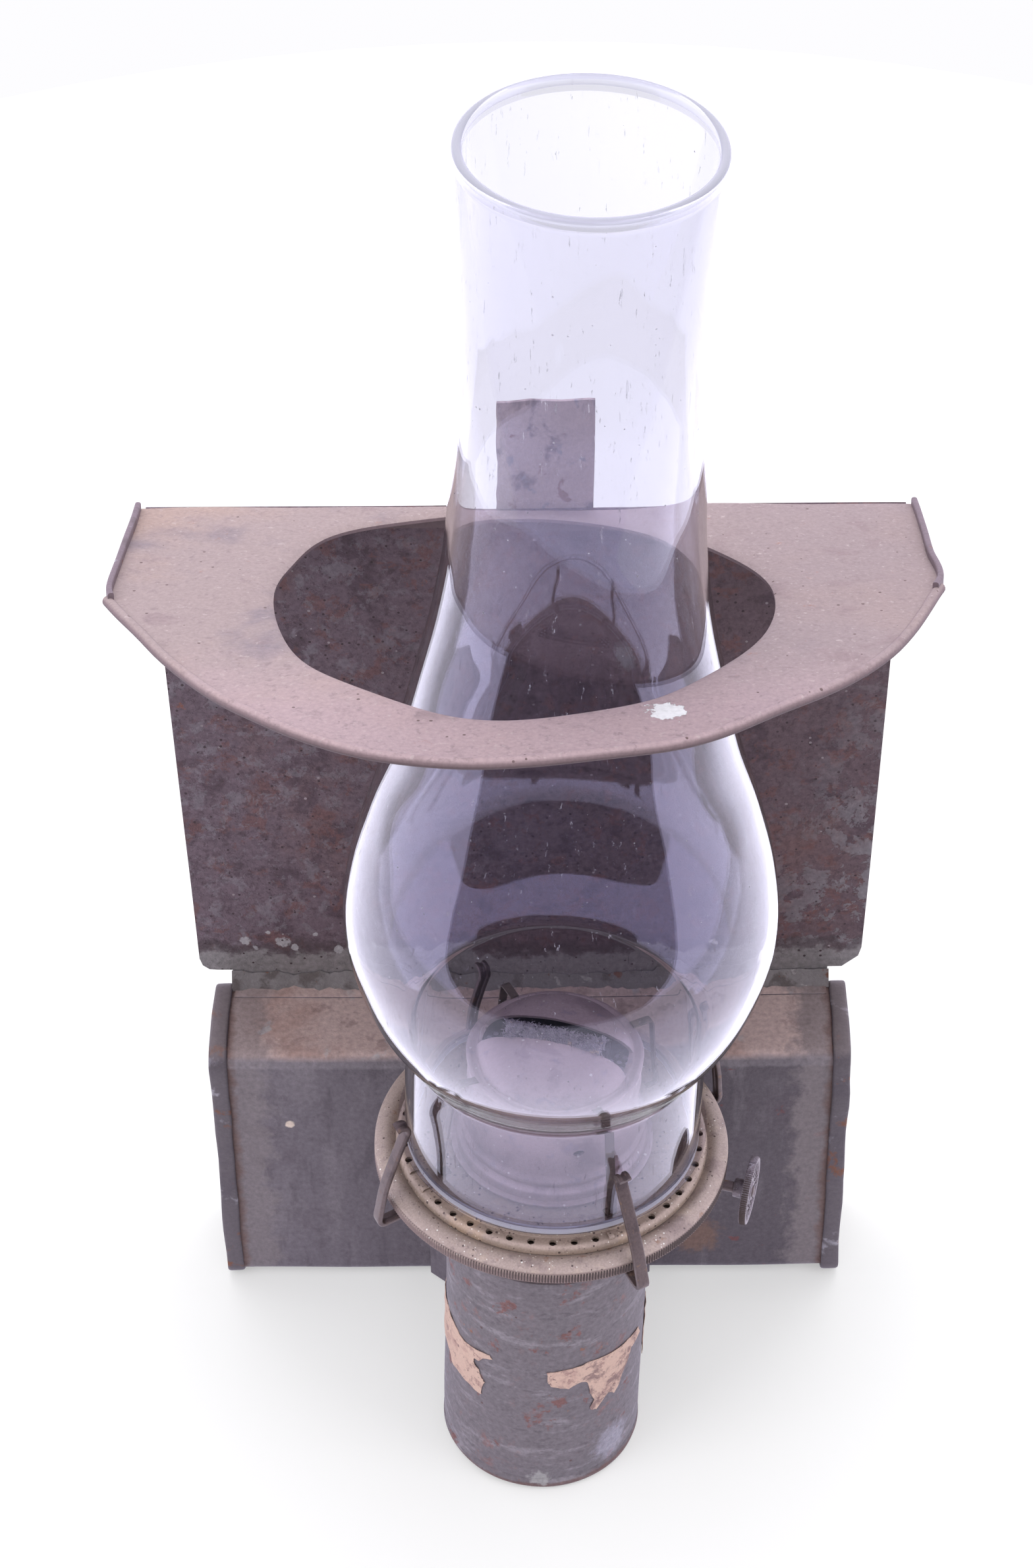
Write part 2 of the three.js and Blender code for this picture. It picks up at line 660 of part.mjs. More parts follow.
// Flat tube with windows at the back where the sprockets reach the wick
function wickTube() {
  const half = [tubeHalfWidth, tubeHalfThickness];
  const outside = block([-half[0], -half[1], tubeFoot], [half[0], half[1], tubeTop]);
  const bore = [wickWidth / 2 + seamGap, wickThickness / 2 + seamGap];
  const inside = block([-bore[0], -bore[1], tubeFoot - cutOverrun], [bore[0], bore[1], tubeTop + cutOverrun]);
  const windows = [-1, 1].map((side) => {
    const middle = side * sprocketSpread;
    const half = sprocketThickness / 2 + seamGap * 2;
    const low = [middle - half, 0, shaftHeight - sprocketRadius];
    return block(low, [middle + half, tubeHalfThickness + cutOverrun, shaftHeight + sprocketRadius]);
  });
  return turnedAbout(cut(outside, inside, ...windows), wickAngle);
}

const wick = () => turnedAbout(block(
  [-wickWidth / 2, -wickThickness / 2, wickTip - wickLength], [wickWidth / 2, wickThickness / 2, wickTip],
), wickAngle);

// Runs from behind the inner sprocket out through the wheel, with a chamfered end
function wickShaft() {
  const end = wheelReach + wheelThickness / 2;
  return alongShaft(turned([
    [0, -shaftTailReach], [shaftRadius, -shaftTailReach], [shaftRadius, end],
    [shaftRadius - seamGap, end + seamGap * 2], [0, end + seamGap * 2],
  ], smallRoundSteps));
}

function sprocket(side) {
  const points = Array.from({ length: 2 * sprocketTeeth }, (_, i) => {
    const radius = i % 2 ? sprocketRadius - sprocketToothDepth : sprocketRadius;
    const angle = Math.PI * i / sprocketTeeth;
    return [radius * Math.cos(angle), radius * Math.sin(angle)];
  });
  const star = extruded(polygon(points), sprocketThickness);
  const bore = rod(shaftRadius + seamGap, -wheelReach, wheelReach);
  return alongShaft(cut(star.translate(0, 0, side * sprocketSpread - sprocketThickness / 2), bore));
}

// Saddle behind the wick tube whose two ears carry the shaft
function shaftCradle() {
  const near = tubeHalfThickness + seamGap;
  const far = shaftOffset + sprocketRadius + seamGap + cradleWall;
  const low = shaftHeight - cradleHalfHeight;
  const high = shaftHeight + cradleHalfHeight;
  const ears = [-1, 1].map((side) => {
    const inner = side * cradleEar - cradleWall / 2;
    return block([inner, near, low], [inner + cradleWall, far, high]);
  });
  const reach = cradleEar + cradleWall / 2;
  const web = block([-reach, far - cradleWall, low], [reach, far, high]);
  const bore = rod(shaftRadius + seamGap, -wheelReach, wheelReach).rotateY(Math.PI / 2);
  return turnedAbout(cut(join(...ears, web), bore.translate(0, shaftOffset, shaftHeight)), wickAngle);
}

// Bush that carries the shaft through the basket's wall
function shaftBush() {
  const middle = basketRadiusAt(shaftHeight);
  const half = bushLength / 2;
  return alongShaft(tube(bushRadius, shaftRadius + seamGap, middle - half, middle + half, smallRoundSteps));
}

function sideWheel() {
  const face = wheelReach + wheelThickness / 2;
  const back = wheelReach - wheelThickness / 2;
  const bore = shaftRadius + seamGap;
  const rim = wheelRadius - wheelRim;
  const body = turned([
    [bore, back - wheelHubLength], [wheelHubRadius, back - wheelHubLength],
    [wheelHubRadius, back + wheelWeb / 2], [rim, back + wheelWeb / 2], [rim, back],
    [wheelRadius, back], [wheelRadius, face], [rim, face],
    [rim, back + wheelWeb * 1.5], [bore, back + wheelWeb * 1.5], [bore, back - wheelHubLength],
  ]);
  const holes = Array.from({ length: wheelHoles }, (_, i) => {
    const hole = rod(wheelHoleRadius, back - cutOverrun, face + cutOverrun, holeSteps);
    return hole.translate(wheelHoleRing, 0, 0).rotateZ(2 * Math.PI * i / wheelHoles);
  });
  return alongShaft(cut(body, ...holes));
}

// A strip bent in the plane of radius and height: its middle line given thickness, then width
function bentStrip(line, thickness, width) {
  const sides = [1, -1].map((side) => line.map((point, i) => {
    const before = line[Math.max(i - 1, 0)];
    const after = line[Math.min(i + 1, line.length - 1)];
    const run = Math.hypot(after[0] - before[0], after[1] - before[1]);
    const half = side * thickness / 2;
    return [point[0] - half * (after[1] - before[1]) / run, point[1] + half * (after[0] - before[0]) / run];
  }));
  return upright(polygon([...sides[0], ...sides[1].reverse()]), width / 2, width);
}

// Middle line of a chimney spring, splayed outwards from its root by an angle
function prongLine(splay) {
  const root = [basketRadiusAt(prongRootHeight) + seamGap + prongThickness / 2, prongRootHeight];
  const touch = chimneyFitterRadius + seamGap + prongThickness / 2;
  const elbow = prongElbowRadius;
  const bent = [
    [elbow + prongThickness * 0.4, prongRootHeight + prongThickness / 2],
    [elbow + prongThickness * 0.5, prongRootHeight + prongThickness * 2],
    [elbow - prongThickness * 2, galleryHeight + galleryBandHeight * 2],
    [touch + prongThickness, prongTipHeight - prongCurl * 2], [touch, prongTipHeight - prongCurl],
    [touch + prongCurl / 3, prongTipHeight - prongCurl / 3], [touch + prongCurl, prongTipHeight],
  ];
  const splayed = bent.map(([r, z]) => {
    const [dr, dz] = [r - root[0], z - root[1]];
    const [cos, sin] = [Math.cos(splay), Math.sin(splay)];
    return [root[0] + dr * cos + dz * sin, root[1] - dr * sin + dz * cos];
  });
  return [root, [elbow - prongThickness, prongRootHeight - prongThickness / 3], ...splayed];
}

function prong(splay, angle) {
  const line = prongLine(splay);
  const strip = bentStrip(line, prongThickness, prongWidth);
  const outer = line.slice(2, -2).map(([r, z]) => [r + prongThickness / 2, z]);
  const groove = bentStrip(outer, prongGrooveDepth * 2, prongGrooveWidth);
  return cut(strip, groove).rotateZ(angle);
}

// Brass spring from the seat ring up to a hook over the dome's rim
function domeSpring(angle) {
  const foot = seatTop + seamGap + domeSpringThickness / 2;
  const top = domeFoot + domeRingHeight + seamGap + domeSpringThickness;
  const line = [
    [domeSpringFoot - domeSpringWidth, foot], [domeSpringFoot - domeSpringThickness, foot],
    [domeSpringFoot, foot + domeSpringThickness], [domeSpringShoulder, top - domeSpringThickness],
    [domeSpringShoulder - domeSpringThickness, top], [domeRadius - domeSpringThickness, top],
  ];
  return bentStrip(line, domeSpringThickness, domeSpringWidth).rotateZ(angle);
}

function chimney() {
  const station = ([r, h]) => [chimneyBulgeRadius * r, chimneyFoot + chimneyHeight * h];
  const stations = chimneyStationShares.map(station);
  const top = chimneyFoot + chimneyHeight;
  const ledge = chimneyFoot + chimneyFitterHeight;
  const outside = [
    [chimneyFitterRadius, chimneyFoot], [chimneyFitterRadius, ledge], ...stations,
    [chimneyTubeRadius, chimneyFoot + chimneyHeight * 0.75], [chimneyTubeRadius, top - chimneyWall],
    [chimneyTubeRadius + chimneyLipBead, top - chimneyWall / 2], [chimneyTubeRadius - chimneyLipBead, top],
  ];
  return pressed(outside, chimneyWall, roundSteps + cornerSteps);
}

place('tank_body', tankBody(), tankTin, bracket);
place('tank_left_end', endCap(-1), tankTin, bracket);
place('tank_right_end', endCap(1), tankTin, bracket);
place('back_plate', backPlate(), rustedTin, bracket);
place('foot_solder', footSolder(), solder, bracket);
place('hanging_tab', hangingTab(), rustedTin, bracket);
place('feed_duct', feedDuct(), tankTin, bracket);
place('hood_plate', hoodPlate(), hoodTin, hood);

place('can_body', canBody(), canTin, font);
place('can_bottom', canBottom(), canTin, font);
place('can_top', canTop(), canTin, font);
place('burner_collar', burnerCollar(), agedBrass, font);
place('burner_base', burnerBase(), agedBrass, font);
place('air_basket', airBasket(), agedBrass, font);
place('gallery', gallery(), agedBrass, font);
place('seat_ring', seatRing(), agedBrass, font);
place('draft_shell', draftShell(), agedBrass, font);
place('dome', dome(), agedBrass, font);
place('inner_diffuser', innerDiffuser(), agedBrass, font);
place('wick_tube', wickTube(), agedBrass, font);
place('wick', wick(), charredWick, font);
place('shaft_cradle', shaftCradle(), agedBrass, font);
place('shaft_bush', shaftBush(), agedBrass, font);
place('wick_shaft', wickShaft(), darkSteel, font);
place('sprocket_inner', sprocket(-1), agedBrass, font);
place('sprocket_outer', sprocket(1), agedBrass, font);
place('side_wheel', sideWheel(), agedBrass, font);
Object.entries(prongSplays).forEach(([corner, splay], i) => {
  const angle = rad(prongFirstDegrees) + i * Math.PI / 2;
  place(`prong_${corner}`, prong(rad(splay), angle), darkSteel, font);
  place(`dome_spring_${corner}`, domeSpring(angle), agedBrass, font);
});
place('chimney', chimney(), clearGlass, font);

// Stands the lamp on its base, with the origin under the middle of its bounding box
const outline = new THREE.Box3().setFromObject(lamp, true);
const middle = outline.getCenter(new THREE.Vector3());
lamp.position.set(-middle.x, -middle.y, -outline.min.z);
lamp.updateMatrixWorld(true);

export default lamp;
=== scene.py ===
"""Railroad wall lamp: tin tank and bracket, round can, flat-wick burner and bulged glass chimney.

Sizes are in millimetres until a piece is made; the pieces are in metres, in the frame of the CAD.
"""
import random
from math import atan2, cos, exp, hypot, pi, radians, sin, sqrt

import bmesh
import bpy
from mathutils import Matrix, Vector, noise


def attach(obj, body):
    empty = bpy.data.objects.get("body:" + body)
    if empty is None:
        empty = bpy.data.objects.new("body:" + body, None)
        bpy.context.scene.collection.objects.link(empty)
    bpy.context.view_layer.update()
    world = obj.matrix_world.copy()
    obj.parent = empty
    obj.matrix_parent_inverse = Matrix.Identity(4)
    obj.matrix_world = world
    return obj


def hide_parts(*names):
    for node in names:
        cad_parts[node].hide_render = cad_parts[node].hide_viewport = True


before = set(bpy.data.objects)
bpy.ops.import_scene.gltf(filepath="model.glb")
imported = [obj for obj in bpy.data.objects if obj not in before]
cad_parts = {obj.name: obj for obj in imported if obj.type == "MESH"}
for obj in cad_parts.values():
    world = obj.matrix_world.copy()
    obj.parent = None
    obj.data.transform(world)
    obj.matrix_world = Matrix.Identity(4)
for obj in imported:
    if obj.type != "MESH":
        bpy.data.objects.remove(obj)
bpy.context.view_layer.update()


def shift(x=0.0, y=0.0, z=0.0):
    return Matrix.Translation((x, y, z))


def turn(degrees, axis="Z"):
    return Matrix.Rotation(radians(degrees), 4, axis)


MM = 0.001
HOOD_TILT = 16
FONT_LEAN = 1.75
WICK_ANGLE = 15
BRACKET = shift(0, 59.299)
HOOD = shift(0, 75.2, 265.9) @ turn(-HOOD_TILT, "X")
BURNER = shift(2.378, -9.601, 0.858) @ turn(FONT_LEAN, "Y")
WICK_TURN = turn(-WICK_ANGLE)
SHAFT = BURNER @ WICK_TURN @ shift(0, 6.1, 104.5) @ turn(90, "Y")

CAP_FACE = 92           # outside of an end cap, from the tank's middle
WRAP_INSET = 1.1        # the tank's wrap lies this far inside the caps' outside
TIN = 0.8
HOOD_MIDDLE = 68        # middle of the hood's hole, from the bend
CAN_RADIUS = 28.1
SEAT_HOLES = 40.1       # radius of the seat's row of holes, where the lugs stand too
WICK_HALF = 13.5
CROWN_SET = -1.3        # the charred crown sits this far from the wick's middle
CROWN_TOP = 157.1
GLASS_WALL = 1.9

FLOOR_SHADE = 0.64
FLOOR_GLOW = 0.39
FLOOR_RADIUS = 0.62
FLOOR_MIDDLE = 0.15
MIRRORED = 2.1          # how bright the walls are that glass and metal mirror
COOL = (0.83, 0.81, 1.0, 1)

# Each spring's place round the burner, how far it is splayed and how far it leans, in degrees
SPRINGS = {"front_right": (-62.5, 0, -4), "back_right": (27.5, 8, 0), "back_left": (117.5, 3, 0),
           "front_left": (207.5, 6, 2)}


# ---- lines and skins

def flowing(points, per_span=6, closed=False):
    """A smooth line through the points."""
    points = [Vector(p) for p in points]
    count = len(points)
    line = []
    for i in range(count if closed else count - 1):
        a, b, c, d = (points[k % count if closed else min(max(k, 0), count - 1)] for k in range(i - 1, i + 3))
        for k in range(per_span):
            t = k / per_span
            line.append(0.5 * ((2 * b) + (c - a) * t + (2 * a - 5 * b + 4 * c - d) * t * t
                               + (3 * b - a - 3 * c + d) * t ** 3))
    if not closed:
        line.append(points[-1])
    return line


def eased(points, radius, steps=3, closed=True):
    """A line with each corner eased by a small curve."""
    points = [Vector(p) for p in points]
    count = len(points)
    line = []
    for i, corner in enumerate(points):
        if not closed and i in (0, count - 1):
            line.append(corner)
            continue
        before, after = points[i - 1] - corner, points[(i + 1) % count] - corner
        reach = min(radius, before.length * 0.45, after.length * 0.45)
        start, end = corner + before.normalized() * reach, corner + after.normalized() * reach
        for k in range(steps + 1):
            t = k / steps
            line.append(start * (1 - t) ** 2 + corner * 2 * t * (1 - t) + end * t * t)
    return line


def ring(radius, sides, z):
    return [(radius * cos(2 * pi * i / sides), radius * sin(2 * pi * i / sides), z) for i in range(sides)]


def skin(rows, close_rows=False, close_columns=False, tag=0):
    """A skin over rows of points: its points, its faces and a finish number for each face."""
    count, width = len(rows), len(rows[0])
    faces = []
    for i in range(count if close_rows else count - 1):
        for j in range(width if close_columns else width - 1):
            below, above = i * width, (i + 1) % count * width
            side = (j + 1) % width
            faces.append((below + j, below + side, above + side, above + j))
    return [tuple(p) for row in rows for p in row], faces, [tag] * len(faces)


def tube(loops, tag=0, windings=(-1, 1)):
    """A skin over closed loops, with a face over its first and its last loop, wound forwards (1) or back (-1)."""
    points, faces, tags = skin(loops, False, True, tag)
    first, last = range(len(loops[0])), range(len(points) - len(loops[0]), len(points))
    ends = [tuple(end)[::way] for end, way in zip((first, last), windings)]
    return points, faces + ends, tags + [tag, tag]


def gathered(*skins):
    """Several skins as one."""
    points, faces, tags = [], [], []
    for some_points, some_faces, some_tags in skins:
        faces += [tuple(i + len(points) for i in face) for face in some_faces]
        points += some_points
        tags += some_tags
    return points, faces, tags


def moved(form, matrix):
    points, faces, tags = form
    return [tuple(matrix @ Vector(p)) for p in points], faces, tags


def turned(profile, steps=128, closed=True, teeth=0, bite=0, toothed=()):
    """A profile of radius and height turned round Z; toothed points are cut back on every second step, with tag 1."""
    rows = []
    for i in range(steps):
        angle = 2 * pi * i / steps
        cutback = bite * (int(i * teeth * 2 / steps) % 2)
        rows.append([((r - cutback * (k in toothed)) * cos(angle), (r - cutback * (k in toothed)) * sin(angle), z)
                     for k, (r, z) in enumerate(profile)])
    points, faces, tags = skin(rows, True, closed)
    width = len(profile) if closed else len(profile) - 1
    if teeth:
        tags = [int(k % width in toothed and k // width % 2 == 1) for k in range(len(faces))]
    return points, faces, tags


def swept(path, section, binormal, tag=0):
    """A section (across, out) carried along a line; across runs along the binormal."""
    path, binormal = [Vector(p) for p in path], Vector(binormal)
    rows = []
    for i, point in enumerate(path):
        tangent = (path[min(i + 1, len(path) - 1)] - path[max(i - 1, 0)]).normalized()
        out = tangent.cross(binormal).normalized()
        rows.append([point + binormal * u + out * v for u, v in section])
    return tube(rows, tag, (1, -1))


def bore(radius, low, high, sides=18):
    """A closed round tool along Z."""
    return tube([ring(radius, sides, z) for z in (low, high)])


def bar(low, high):
    """A closed block between two corners."""
    xs, ys, zs = zip(low, high)
    points = [(x, y, z) for z in zs for x, y in ((xs[0], ys[0]), (xs[1], ys[0]), (xs[1], ys[1]), (xs[0], ys[1]))]
    faces = [(3, 2, 1, 0), (4, 5, 6, 7), (0, 1, 5, 4), (1, 2, 6, 5), (2, 3, 7, 6), (3, 0, 4, 7)]
    return points, faces, [0] * 6


def netted(outline, spacing):
    """A flat outline cut into small faces, so that it can be bent or dented."""
    form = bmesh.new()
    form.faces.new([form.verts.new((x, y, 0)) for x, y in outline])
    for axis in (0, 1):
        low, high = min(p[axis] for p in outline), max(p[axis] for p in outline)
        for i in range(1, int((high - low) / spacing) + 1):
            across, normal = [0, 0, 0], [0, 0, 0]
            across[axis], normal[axis] = low + i * spacing + 0.013, 1
            everything = form.verts[:] + form.edges[:] + form.faces[:]
            bmesh.ops.bisect_plane(form, geom=everything, dist=1e-4, plane_co=across, plane_no=normal)
    form.verts.ensure_lookup_table()
    points = [tuple(v.co) for v in form.verts]
    faces = [tuple(v.index for v in face.verts) for face in form.faces]
    form.free()
    return points, faces, [0] * len(faces)


def thickened(form, offset, under=0):
    """A sheet given thickness: offset takes a point to its place on the other side."""
    points, faces, tags = form
    count = len(points)
    used = {(a, b) for face in faces for a, b in zip(face, face[1:] + face[:1])}
    rim = [(a, b) for face in faces for a, b in zip(face, face[1:] + face[:1]) if (b, a) not in used]
    other = [tuple(offset(Vector(p))) for p in points]
    back = [tuple(i + count for i in face[::-1]) for face in faces]
    sides = [(b, a, a + count, b + count) for a, b in rim]
    return points + other, list(faces) + back + sides, list(tags) + [under] * len(back) + [0] * len(sides)


# ---- pieces

def settled(mesh, crease):
    """Joins what meets, turns every face outwards, and shades smoothly but for creases."""
    form = bmesh.new()
    form.from_mesh(mesh)
    bmesh.ops.remove_doubles(form, verts=form.verts, dist=2e-6)
    bmesh.ops.recalc_face_normals(form, faces=form.faces)
    form.to_mesh(mesh)
    form.free()
    for face in mesh.polygons:
        face.use_smooth = True
    mesh.set_sharp_from_angle(angle=radians(crease))


def built(name, form, place, crease, finishes=()):
    """An object from a form, set in its row frame."""
    points, faces, tags = form
    mesh = bpy.data.meshes.new(name)
    mesh.from_pydata([place @ Vector(p) * MM for p in points], [], faces)
    for material in finishes:
        mesh.materials.append(material)
    for face, tag in zip(mesh.polygons, tags):
        face.material_index = tag
    settled(mesh, crease)
    thing = bpy.data.objects.new(name, mesh)
    bpy.context.scene.collection.objects.link(thing)
    return thing


def piece(name, form, finishes, body, nodes=(), place=BURNER, crease=38):
    """A named piece that rides on a CAD body and stands for the CAD nodes given."""
    thing = built(name, form, place, crease, finishes if isinstance(finishes, list) else [finishes])
    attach(thing, body)
    if nodes:
        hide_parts(*nodes)
    return thing


def dented(thing, depth, size, seed, keep=None):
    """Moves the sheet a little by a smooth field, as years of knocks do."""
    offset = Vector((seed * 3.1, seed * 1.7, seed * 5.3))
    for vertex in thing.data.vertices:
        push = noise.noise_vector(vertex.co / (size * MM) + offset) * depth * MM
        if keep:
            push = Vector([p * k for p, k in zip(push, keep)])
        vertex.co += push


def pierced(thing, tools, place=BURNER, crease=38):
    """Cuts closed tools, which don't meet each other, out of a piece."""
    points, faces, _ = gathered(*tools)
    punch = built("punch", (points, faces, []), place, 30)
    step = thing.modifiers.new("pierced", "BOOLEAN")
    step.operation, step.solver, step.object = "DIFFERENCE", "EXACT", punch
    bpy.context.view_layer.update()
    whole = thing.evaluated_get(bpy.context.evaluated_depsgraph_get())
    result = bpy.data.meshes.new_from_object(whole)
    thing.modifiers.clear()
    thing.data = result
    result.name = thing.name
    bpy.data.objects.remove(punch)
    settled(result, crease)


def wave(x, y, z):
    """A smooth random height at a place."""
    return noise.noise(Vector((x, y, z)))


# ---- finishes

def tone(red, green, blue):
    """A colour as it looks on a screen, 0 to 255, in the renderer's own light values."""
    def linear(value):
        value /= 255
        return value / 12.92 if value <= 0.04045 else ((value + 0.055) / 1.055) ** 2.4
    return (linear(red), linear(green), linear(blue), 1)


class Nodes:
    """Short names for the nodes of one tree."""

    def __init__(self, tree):
        self.tree = tree

    def add(self, kind, inputs=None, **settings):
        node = self.tree.nodes.new("ShaderNode" + kind)
        for key, value in settings.items():
            setattr(node, key, value)
        for key, value in (inputs or {}).items():
            if isinstance(value, bpy.types.NodeSocket):
                self.tree.links.new(value, node.inputs[key])
            else:
                node.inputs[key].default_value = value
        return node

    def maths(self, operation, *values):
        return self.add("Math", dict(enumerate(values)), operation=operation).outputs[0]

    def plus(self, one, other):
        return self.maths("ADD", one, other)

    def times(self, one, other):
        return self.maths("MULTIPLY", one, other)

    def here(self):
        return self.add("TexCoord").outputs["Object"]

    def away(self, centre):
        return self.add("VectorMath", {0: self.here(), 1: centre}, operation="DISTANCE").outputs["Value"]

    def ranged(self, value, start, end, low=0.0, high=1.0, **settings):
        return self.add("MapRange", {"Value": value, "From Min": start, "From Max": end, "To Min": low,
                                     "To Max": high}, **settings).outputs[0]

    def cloud(self, spot, scale, detail, roughness, distortion=0.0):
        return self.add("TexNoise", {"Vector": spot, "Scale": scale, "Detail": detail, "Roughness": roughness,
                                     "Distortion": distortion}).outputs[0]

    def mix(self, share, one, other, **settings):
        return self.add("Mix", {0: share, 6: one, 7: other}, data_type="RGBA", **settings).outputs[2]

    def blend(self, share, one, other):
        return self.add("Mix", {0: share, 2: one, 3: other}).outputs[0]

    def swing(self, cloud, raggedness):
        """A cloud turned into a push either way, which makes an edge ragged."""
        return self.times(self.maths("SUBTRACT", cloud, 0.5), raggedness)


def effect(name, inputs, outputs, build):
    """A shared effect: a node group with named inputs and outputs."""
    group = bpy.data.node_groups.new(name, "ShaderNodeTree")
    for label, value in inputs.items():
        kind = "NodeSocketVector" if isinstance(value, tuple) else "NodeSocketFloat"
        group.interface.new_socket(name=label, in_out="INPUT", socket_type=kind).default_value = value
    for label in outputs:
        group.interface.new_socket(name=label, in_out="OUTPUT", socket_type="NodeSocketFloat")
    source, sink = group.nodes.new("NodeGroupInput"), group.nodes.new("NodeGroupOutput")
    for label, socket in build(Nodes(group), source.outputs).items():
        group.links.new(socket, sink.inputs[label])
    return group


def shifted(n, given):
    """Object coordinates moved by a vector, so that two uses of an effect differ."""
    return n.add("VectorMath", {0: n.here(), 1: given["Shift"]}, operation="ADD").outputs[0]


def build_patches(n, given):
    per_metre = n.maths("DIVIDE", 1000.0, given["Patch Size"])
    stretched = n.add("VectorMath", {0: shifted(n, given), 1: given["Stretch"]}, operation="MULTIPLY").outputs[0]
    cloud = n.cloud(stretched, per_metre, 7.0, given["Raggedness"], 0.25)
    start = n.maths("SUBTRACT", 0.74, n.times(given["Cover"], 0.48))
    ramp = n.ranged(cloud, start, n.plus(start, given["Softness"]), interpolation_type="SMOOTHSTEP")
    return {"Mask": n.times(ramp, given["Strength"])}


def build_flecks(n, given):
    per_metre = n.maths("DIVIDE", 1000.0, given["Spacing"])
    cells = n.add("TexVoronoi", {"Vector": shifted(n, given), "Scale": per_metre})
    reach = n.maths("DIVIDE", given["Dot Size"], given["Spacing"])
    draw = n.add("SeparateColor", {0: cells.outputs["Color"]})
    size = n.times(reach, n.plus(draw.outputs[1], 0.3))
    inside = n.maths("LESS_THAN", cells.outputs["Distance"], size)
    return {"Mask": n.times(inside, n.maths("LESS_THAN", draw.outputs[0], given["Share"]))}


def build_grain(n, given):
    per_metre = n.maths("DIVIDE", 1000.0, given["Grain Size"])
    fine = n.cloud(n.here(), per_metre, 5.0, 0.62)
    pits = n.add("TexVoronoi", {"Vector": n.here(), "Scale": n.times(per_metre, 0.7)})
    pit = n.ranged(pits.outputs["Distance"], 0.05, 0.32)
    return {"Mask": fine, "Height": n.plus(n.times(fine, 0.7), n.times(pit, 0.3))}


def build_band(n, given):
    """A band across one axis of the object, with a ragged edge."""
    along = n.add("VectorMath", {0: n.here(), 1: given["Axis"]}, operation="DOT_PRODUCT").outputs["Value"]
    place = n.plus(along, n.swing(n.cloud(n.here(), 160.0, 6.0, 0.65), given["Raggedness"]))
    rise = n.ranged(place, given["Start"], n.plus(given["Start"], given["Softness"]))
    fall = n.ranged(place, given["End"], n.plus(given["End"], given["Softness"]), 1.0, 0.0)
    return {"Mask": n.times(n.times(rise, fall), given["Strength"])}


def build_spot(n, given):
    """One ragged spot round a point."""
    share = n.maths("DIVIDE", n.away(given["Centre"]), given["Radius"])
    edge = n.plus(share, n.swing(n.cloud(n.here(), 420.0, 5.0, 0.6), given["Raggedness"]))
    ramp = n.ranged(edge, 1.0, n.plus(1.0, given["Softness"]), 1.0, 0.0)
    return {"Mask": n.times(ramp, given["Strength"])}


# A finish gives an effect's values in the order of its inputs here
PATCHES = effect("Patches", {"Patch Size": 20.0, "Cover": 0.5, "Softness": 0.1, "Shift": (0.0, 0.0, 0.0),
                             "Strength": 1.0, "Raggedness": 0.6, "Stretch": (1.0, 1.0, 1.0)},
                 ["Mask"], build_patches)
FLECKS = effect("Flecks", {"Spacing": 3.0, "Dot Size": 0.5, "Share": 0.3, "Shift": (0.0, 0.0, 0.0)},
                ["Mask"], build_flecks)
GRAIN = effect("Sheet Grain", {"Grain Size": 0.8}, ["Mask", "Height"], build_grain)
BAND = effect("Ragged Band", {"Start": 0.0, "End": 0.01, "Softness": 0.002, "Raggedness": 0.004,
                              "Axis": (0.0, 0.0, 1.0), "Strength": 1.0}, ["Mask"], build_band)
SPOT = effect("Ragged Spot", {"Centre": (0.0, 0.0, 0.0), "Radius": 0.004, "Raggedness": 1.2, "Softness": 0.12,
                              "Strength": 1.0}, ["Mask"], build_spot)
NO_SHIFT = (0, 0, 0)


class Finish(Nodes):
    """A material whose colour, roughness and relief are laid on in coats."""

    def __init__(self, name, colour, roughness, metallic=0.0):
        self.material = bpy.data.materials.new(name)
        self.material.use_nodes = True
        super().__init__(self.material.node_tree)
        self.shader = self.tree.nodes["Principled BSDF"]
        self.shader.inputs["Metallic"].default_value = metallic
        self.colour, self.roughness, self.normal = tone(*colour) if len(colour) == 3 else colour, roughness, None

    def mask(self, group, *values):
        return self.add("Group", dict(enumerate(values)), node_tree=group).outputs["Mask"]

    def upward(self, low=0.55, high=0.9, strength=1.0):
        """A mask of how far the sheet faces up: it lays settled dust and soot, and also painted light on the tank's top
        and painted shade under the hood's hem.
        """
        normal = self.add("NewGeometry").outputs["Normal"]
        level = self.add("SeparateXYZ", {0: normal}).outputs[2]
        return self.ranged(level, low, high, 0.0, strength)

    def over(self, mask, colour, rough=None):
        """Lays a colour, and a roughness where one is given, over what is there."""
        self.colour = self.mix(mask, self.colour, tone(*colour))
        if rough is not None:
            self.roughness = self.blend(mask, self.roughness, rough)
        return self

    def lay(self, colour, group, *values, rough=None, within=None):
        """Lays a colour through an effect, and only within a mask where one is given."""
        mask = self.mask(group, *values)
        return self.over(mask if within is None else self.times(within, mask), colour, rough)

    def mottle(self, size, dark, light):
        """Varies the colour between a darker and a lighter share of itself."""
        share = self.ranged(self.mask(GRAIN, size), 0.3, 0.7, dark, light)
        shade = self.add("CombineColor", {0: share, 1: share, 2: share}).outputs[0]
        self.colour = self.mix(1.0, self.colour, shade, blend_type="MULTIPLY")
        return self

    def relief(self, height, depth):
        """Raises the surface by a height of 0 to 1 times a depth in millimetres."""
        inputs = {"Height": height, "Distance": depth * MM, "Strength": 1.0}
        if self.normal:
            inputs["Normal"] = self.normal
        self.normal = self.add("Bump", inputs).outputs[0]
        return self

    def grained(self, size, depth):
        return self.relief(self.add("Group", {0: size}, node_tree=GRAIN).outputs["Height"], depth)

    def done(self):
        for label, value in (("Base Color", self.colour), ("Roughness", self.roughness)):
            if isinstance(value, bpy.types.NodeSocket):
                self.tree.links.new(value, self.shader.inputs[label])
            else:
                self.shader.inputs[label].default_value = value
        if self.normal:
            self.tree.links.new(self.normal, self.shader.inputs["Normal"])
        return self.material


